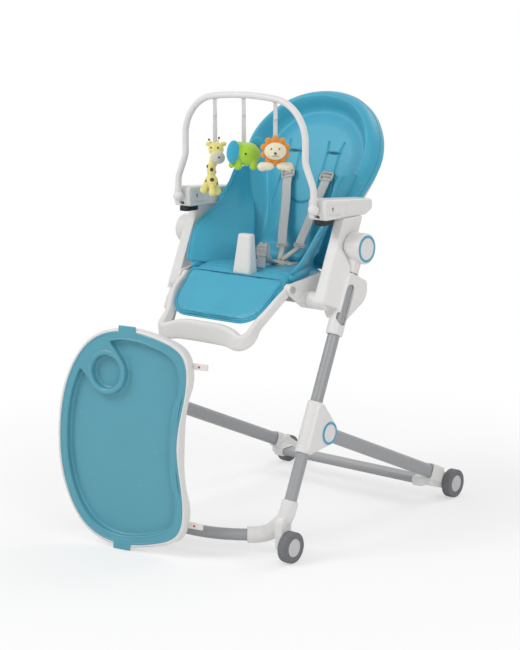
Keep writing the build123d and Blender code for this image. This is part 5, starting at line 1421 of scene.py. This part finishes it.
def make_arm_details():
    """A bead round the panel on each side of an armrest, and the keyhole in it."""
    low, top = KEYHOLE_DEPTHS
    for sign, hand in SIDES:
        for face, word, away in ARM_FACES:
            out = sign * away
            axes = axes_matrix((sign * face, KEYHOLE_Y, KEYHOLE_Z), (0, out, 0), (0, 0, 1), (out, 0, 0))
            hole = lathe("part", ((0.1, low), (KEYHOLE_R, low), (KEYHOLE_R, top), (0.1, top)), axes, 20)
            outline = [(x, y - KEYHOLE_DROP) for x, y in soft_box(*KEYHOLE_LEG, 16)]
            leg = skinned("part", [[axes @ at(x, y, z) for x, y in outline] for z in KEYHOLE_DEPTHS])
            keyhole = joined(f"keyhole_{word}_{hand}", [hole, leg])
            # The keyhole is a dark grey plug sunk in the hole: painted shade for its depth
            finished(keyhole, "black_plastic", "seat", material=HOLE_PAINTED_SHADE)
            loop = [at(sign * face, y, z) for y, z in rounded_loop(PANEL, PANEL_ROUNDS)]
            cord(f"arm_panel_{word}_{hand}", loop, PANEL_BEAD_R, (1, 0, 0), "white_plastic", "seat")


# Plush animals


def arch_z(x):
    """Height of the arch's centre line on its crown."""
    lean = atan2(ARCH_TOP_Z - ARCH_SHOULDER_Z, ARCH_NECK_X)
    return ARCH_TOP_Z - ARCH_CROWN_R / cos(lean) + sqrt(ARCH_CROWN_R**2 - x**2)


RIBBON_WIDTH = 10.0
RIBBON_T = 1.2
RIBBON_ROWS = 24
RIBBON_IN = 2.0
# The folded end, from the slot down: aside of it, behind it and up from it
RIBBON_FOLD = ((1.0, -1.4, 1.0), (2.0, -2.4, -18.0), (4.0, -5.0, -38.0))
RIBBON_SLOT = (8.5, 4.6, 1.6)
RIBBON_SLOT_UP = 0.7


def toy_frame(x):
    """Frame of an animal turned about its ribbon: x across it, y behind it, z up from the floor."""
    c = cos(radians(TOY_TURN))
    s = sin(radians(TOY_TURN))
    return axes_matrix((x, ARCH_Y, 0), (c, s, 0), (-s, c, 0), (0, 0, 1))


def hung(thing, animal, part, slot, node=None, material=None):
    """A piece of an animal, turned with it, named and finished."""
    thing.data.transform(toy_frame(TOY_X[animal]))
    thing.name = f"{animal}_{part}"
    finished(thing, slot, animal, (f"{animal}_{node}",) if node else (), material)


def make_ribbon(animal):
    """A tape from a slot under the arch, turning down to its animal, with its folded end beside it."""
    x = TOY_X[animal]
    under = arch_z(x) - ARCH_OD / 2
    top = under + RIBBON_IN
    run = []
    lies = []
    for share in np.linspace(0, 1, RIBBON_ROWS):
        run.append(at(x, ARCH_Y, top + (TAPE_LOW_Z[animal] - top) * share))
        turn = radians(TOY_TURN) * float(smooth_step(share))
        lies.append(Vector((cos(turn), sin(turn), 0)))
    tape = swept("part", run, band_profile(RIBBON_WIDTH, RIBBON_T), lies)
    corners = [(x + aside, ARCH_Y + back, under + up) for aside, back, up in RIBBON_FOLD]
    fold = [at(*p) for p in spline(corners, (0, -0.1, -1), (0.1, -0.3, -1), 12)]
    flap = swept("part", fold, band_profile(RIBBON_WIDTH + 1, RIBBON_T), (1, 0, 0))
    ribbon = joined(f"{animal}_tape", [tape, flap])
    finished(ribbon, "grey_webbing", animal, (f"{animal}_ribbon",), WHITE_TAPE)
    slot = ball(RIBBON_SLOT, (x, ARCH_Y, under + RIBBON_SLOT_UP))
    slot.name = f"{animal}_ribbon_slot"
    finished(slot, "grey_plastic", "arch")


# The giraffe's feet, the places of its eyes, ears and horns, and the places and radii of its spots
GIRAFFE_FEET = ((-27, -8, 786), (-24, 11, 783), (-7, -14, 780), (5, 9, 780))
GIRAFFE_HEAD = (
    ("left", (7, -17.4, 884), (19, 2, 891), (6, 0, 893), (9, 0, 905)),
    ("right", (-9, -14.0, 884), (-15, 3, 891), (-5, 0, 892), (-14, 0, 901)),
)
GIRAFFE_SPOTS = (
    ((-8, -9.6, 833), (4.0, 1.8, 4.6)), ((-7, -13.8, 810), (5.0, 2.0, 4.8)),
    ((-18.4, -3, 840), (1.8, 3.6, 4.0)), ((-21, -8, 806), (2.4, 3.6, 4.0)),
    ((0.6, 3, 826), (1.8, 3.8, 4.2)), ((-9, 9.6, 838), (4.0, 1.8, 4.4)),
    ((-7, 13.8, 806), (4.6, 2.0, 4.6)), ((4.4, -6, 801), (2.2, 3.4, 3.8)),
)


def make_giraffe():
    """Giraffe: long neck, spots, grey muzzle, horns with dark tips."""
    toy = "giraffe"
    neck = [ball((10.5, 10, 22), (-9, 0, 830)), ball((9.5, 9, 17), (-4, 0, 852))]
    hung(stuffed("torso", [ball((16, 15, 17), (-9, 0, 804)), *neck]), toy, "torso", "yellow_plush", "body")
    legs = []
    for dx, dy, low in GIRAFFE_FEET:
        knee = (dx * 0.75 - 2, dy * 0.8, low + 11)
        lumps = [ball((8.4, 8.4, 8.4), (dx, dy, low)), ball((7.0, 7.0, 11), knee)]
        legs.append(stuffed("leg", lumps, 1.3, 5))
    hung(joined("legs", legs), toy, "feet", "yellow_plush", "legs")
    head = stuffed("head", [ball((18, 17.5, 17), (2, -1, 879)), ball((14.5, 15, 13), (6, -11, 866))])
    hung(head, toy, "face", "yellow_plush", "head")
    muzzle = stuffed("muzzle", [ball((15.5, 13.5, 14.5), (8, -18, 861))])
    hung(muzzle, toy, "muzzle", "cream_plush", material=GREY_FELT)
    hung(ball((2.4, 1.4, 2.0), (10, -31.0, 863)), toy, "nose", "black_plastic", material=BEAD_BLACK)
    for hand, eye_at, ear_at, root, tip in GIRAFFE_HEAD:
        hung(ball((2.0, 1.6, 2.3), eye_at), toy, f"eye_{hand}", "black_plastic", material=BEAD_BLACK)
        ear = stuffed("ear", [ball((7.5, 4, 5.5), ear_at)], 1.0, 4)
        hung(ear, toy, f"ear_{hand}", "yellow_plush")
        horn = swept("horn", [at(*root), at(*tip)], round_profile(1.3), (0, 1, 0))
        hung(horn, toy, f"horn_{hand}", "yellow_plush")
        hung(ball((2.6, 2.6, 2.6), tip), toy, f"horn_tip_{hand}", "black_plastic", material=BROWN_FELT)
    spots = [ball(radii, place) for place, radii in GIRAFFE_SPOTS]
    hung(joined("spots", spots), toy, "spots", "yellow_plush", material=BROWN_FELT)


def make_elephant():
    """Elephant: lime body and trunk, cyan ears."""
    toy = "elephant"
    trunk = [ball((8, 8, 12), (-25, -9, 859)), ball((6.5, 7, 7), (-28, -11, 849))]
    torso = [ball((30, 26, 27), (8, 0, 873)), ball((20, 22, 22), (-12, -2, 880)), *trunk]
    hung(stuffed("torso", torso), toy, "torso", "green_plush", "body")
    feet = [
        stuffed("foot", [ball((9.6, 9.6, 9), (dx, dy, 847)), ball((8.4, 8.4, 11), (dx, dy, 855))])
        for dx, dy in ((-13, -14), (-13, 14), (22, -14), (22, 14))
    ]
    hung(joined("feet", feet), toy, "feet", "green_plush", "legs")
    ears = [
        stuffed("ear", [ball((15, 6.5, 27), (-24, -21, 880), Matrix.Rotation(0.12, 4, "Y"))]),
        stuffed("ear", [ball((14, 6.5, 15), (31, 11, 897), Matrix.Rotation(-0.3, 4, "Y"))]),
    ]
    hung(joined("ears", ears), toy, "flaps", "blue_plush", "ears")
    for dy, hand in ((-26.2, "front"), (26.2, "rear")):
        eye = ball((2.2, 1.8, 2.6), (4.6, dy, 876))
        hung(eye, toy, f"eye_{hand}", "black_plastic", material=BEAD_BLACK)


MANE_POINTS = 10
MANE_R = 25.5


def make_lion():
    """Lion: pointed mane, cream face and paws."""
    toy = "lion"
    points = [ball((27, 8, 27), (0, 0, LION_Z))]
    for k in range(MANE_POINTS):
        a = tau * (k + 0.5) / MANE_POINTS
        place = (MANE_R * cos(a), 0, LION_Z + MANE_R * sin(a))
        points.append(ball((9.5, 6, 7.8), place, Matrix.Rotation(-a, 4, "Y")))
    hung(stuffed("mane", points, 1.3, 4), toy, "ruff", "orange_plush", "mane")
    face = stuffed("face", [ball((25, 15, 19.5), (0, -9, LION_Z)), ball((11, 8, 8), (0, -20, LION_Z - 6))])
    hung(face, toy, "face", "cream_plush", "head")
    paws = []
    for sign in (-1, 1):
        palm = ball((17, 11, 9.5), (sign * 19, -5, LION_Z - 34))
        toes = ball((11.5, 11.5, 10.5), (sign * 29, -6, LION_Z - 35))
        paws.append(stuffed("paw", [palm, toes]))
    hung(joined("paws", paws), toy, "feet", "cream_plush", "paws")
    nose = ball((3.4, 2.2, 2.8), (0, -27.4, LION_Z - 3))
    hung(nose, toy, "nose", "black_plastic", material=BROWN_FELT)
    for sign, hand in SIDES:
        eye = ball((1.7, 1.4, 2.0), (sign * 9, -22.3, LION_Z + 6))
        hung(eye, toy, f"eye_{hand}", "black_plastic", material=BROWN_FELT)
        corners = ((0, -27.4, LION_Z - 6), (sign * 3, -27.0, LION_Z - 9.5), (sign * 7, -25.4, LION_Z - 8.5))
        smile = [at(*p) for p in spline(corners, (sign * 0.3, 0, -1), (sign, 0.3, 0.4), 10)]
        mouth = swept("mouth", smile, round_profile(0.6), (0, 1, 0))
        hung(mouth, toy, f"mouth_{hand}", "black_plastic", material=BROWN_FELT)


# Stage, in metres: strength of the light from all around, the lamps, and where the floor fades to white
WORLD_LIGHT = 0.56
LAMPS = (
    ("key", (-1.6, -2.6, 3.2), 1.6, 58.0),
    ("fill", (2.8, -1.4, 2.0), 2.0, 24.0),
    ("back", (0.6, 2.6, 2.8), 1.6, 24.0),
)
LAMP_AIM = (0.0, 0.0, 0.5)
FLOOR_HALF = 9.0
FLOOR_WHITE = 0.5
FADE_FROM = 0.5
FADE_TO = 1.5
FULL_WHITE = (1.0, 1.0, 1.0)


def aimed(name, data, place, target):
    """A camera or a lamp, put in the scene and turned to a target."""
    thing = bpy.data.objects.new(name, data)
    thing.location = place
    thing.rotation_euler = (Vector(target) - thing.location).to_track_quat("-Z", "Y").to_euler()
    bpy.context.scene.collection.objects.link(thing)
    return thing


def make_stage():
    """Camera, pale floor, and soft light from above and from the front."""
    scene = bpy.context.scene
    scene.view_settings.view_transform = "Standard"
    lens = bpy.data.cameras.new("camera")
    lens.lens = CAMERA_LENS
    lens.sensor_width = CAMERA_SENSOR
    lens.clip_end = 50.0
    scene.camera = aimed("camera", lens, at(*CAMERA_AT), at(*CAMERA_TARGET))

    corners = [(x * FLOOR_HALF, y * FLOOR_HALF, 0) for x, y in ((-1, -1), (1, -1), (1, 1), (-1, 1))]
    floor = mesh_object("floor", corners, [(0, 1, 2, 3)])
    floor.data.materials.append(floor_material())

    world = bpy.data.worlds.new("studio")
    world.use_nodes = True
    scene.world = world
    tree = world.node_tree
    rays = added(tree, "LightPath", {}).outputs
    seen = added(tree, "Math", {0: rays["Is Camera Ray"], 1: rays["Is Glossy Ray"]}, operation="MAXIMUM")
    strength = ramp_between(tree, seen.outputs[0], WORLD_LIGHT, 1.0)
    feed(tree, tree.nodes["Background"], {"Color": (*FULL_WHITE, 1.0), "Strength": strength})

    for name, place, size, power in LAMPS:
        light = bpy.data.lights.new(name, "AREA")
        light.shape = "SQUARE"
        light.size = size
        light.energy = power
        aimed(name, light, place, LAMP_AIM)


def floor_material():
    """Pale floor with a soft shadow, which fades to plain white away from the chair for the eye alone."""
    material, tree, place = started("floor")
    pale = tinted(tree, noise(tree, place, 1.2), FULL_WHITE, 0.93, 0.95)
    ended(material, {"Base Color": pale, "Roughness": 0.9, "Specular IOR Level": 0.1})
    away = added(tree, "VectorMath", {0: place}, operation="LENGTH").outputs["Value"]
    fading = {"Value": away, "From Min": FADE_FROM, "From Max": FADE_TO, "To Min": FLOOR_WHITE}
    fade = added(tree, "MapRange", fading, interpolation_type="SMOOTHSTEP").outputs["Result"]
    eye = added(tree, "LightPath", {}).outputs["Is Camera Ray"]
    seen = added(tree, "Math", {0: eye, 1: fade}, operation="MULTIPLY").outputs[0]
    plain = tree.nodes["Principled BSDF"].outputs["BSDF"]
    glow = added(tree, "Emission", {"Color": (*FULL_WHITE, 1.0)}).outputs["Emission"]
    mix = added(tree, "MixShader", {"Fac": seen, 1: plain, 2: glow}).outputs["Shader"]
    feed(tree, tree.nodes["Material Output"], {"Surface": mix})
    return material


finish_solids()
make_mouldings()
make_back()
make_wings()
make_seat()
make_calf()
make_foot_frame()
make_rolls()
make_straps()
make_belt()
make_wheel_faces()
make_giraffe()
make_elephant()
make_lion()
for toy_name in TOY_X:
    make_ribbon(toy_name)
make_tray_details()
make_arm_details()
make_stage()

bpy.context.view_layer.update()
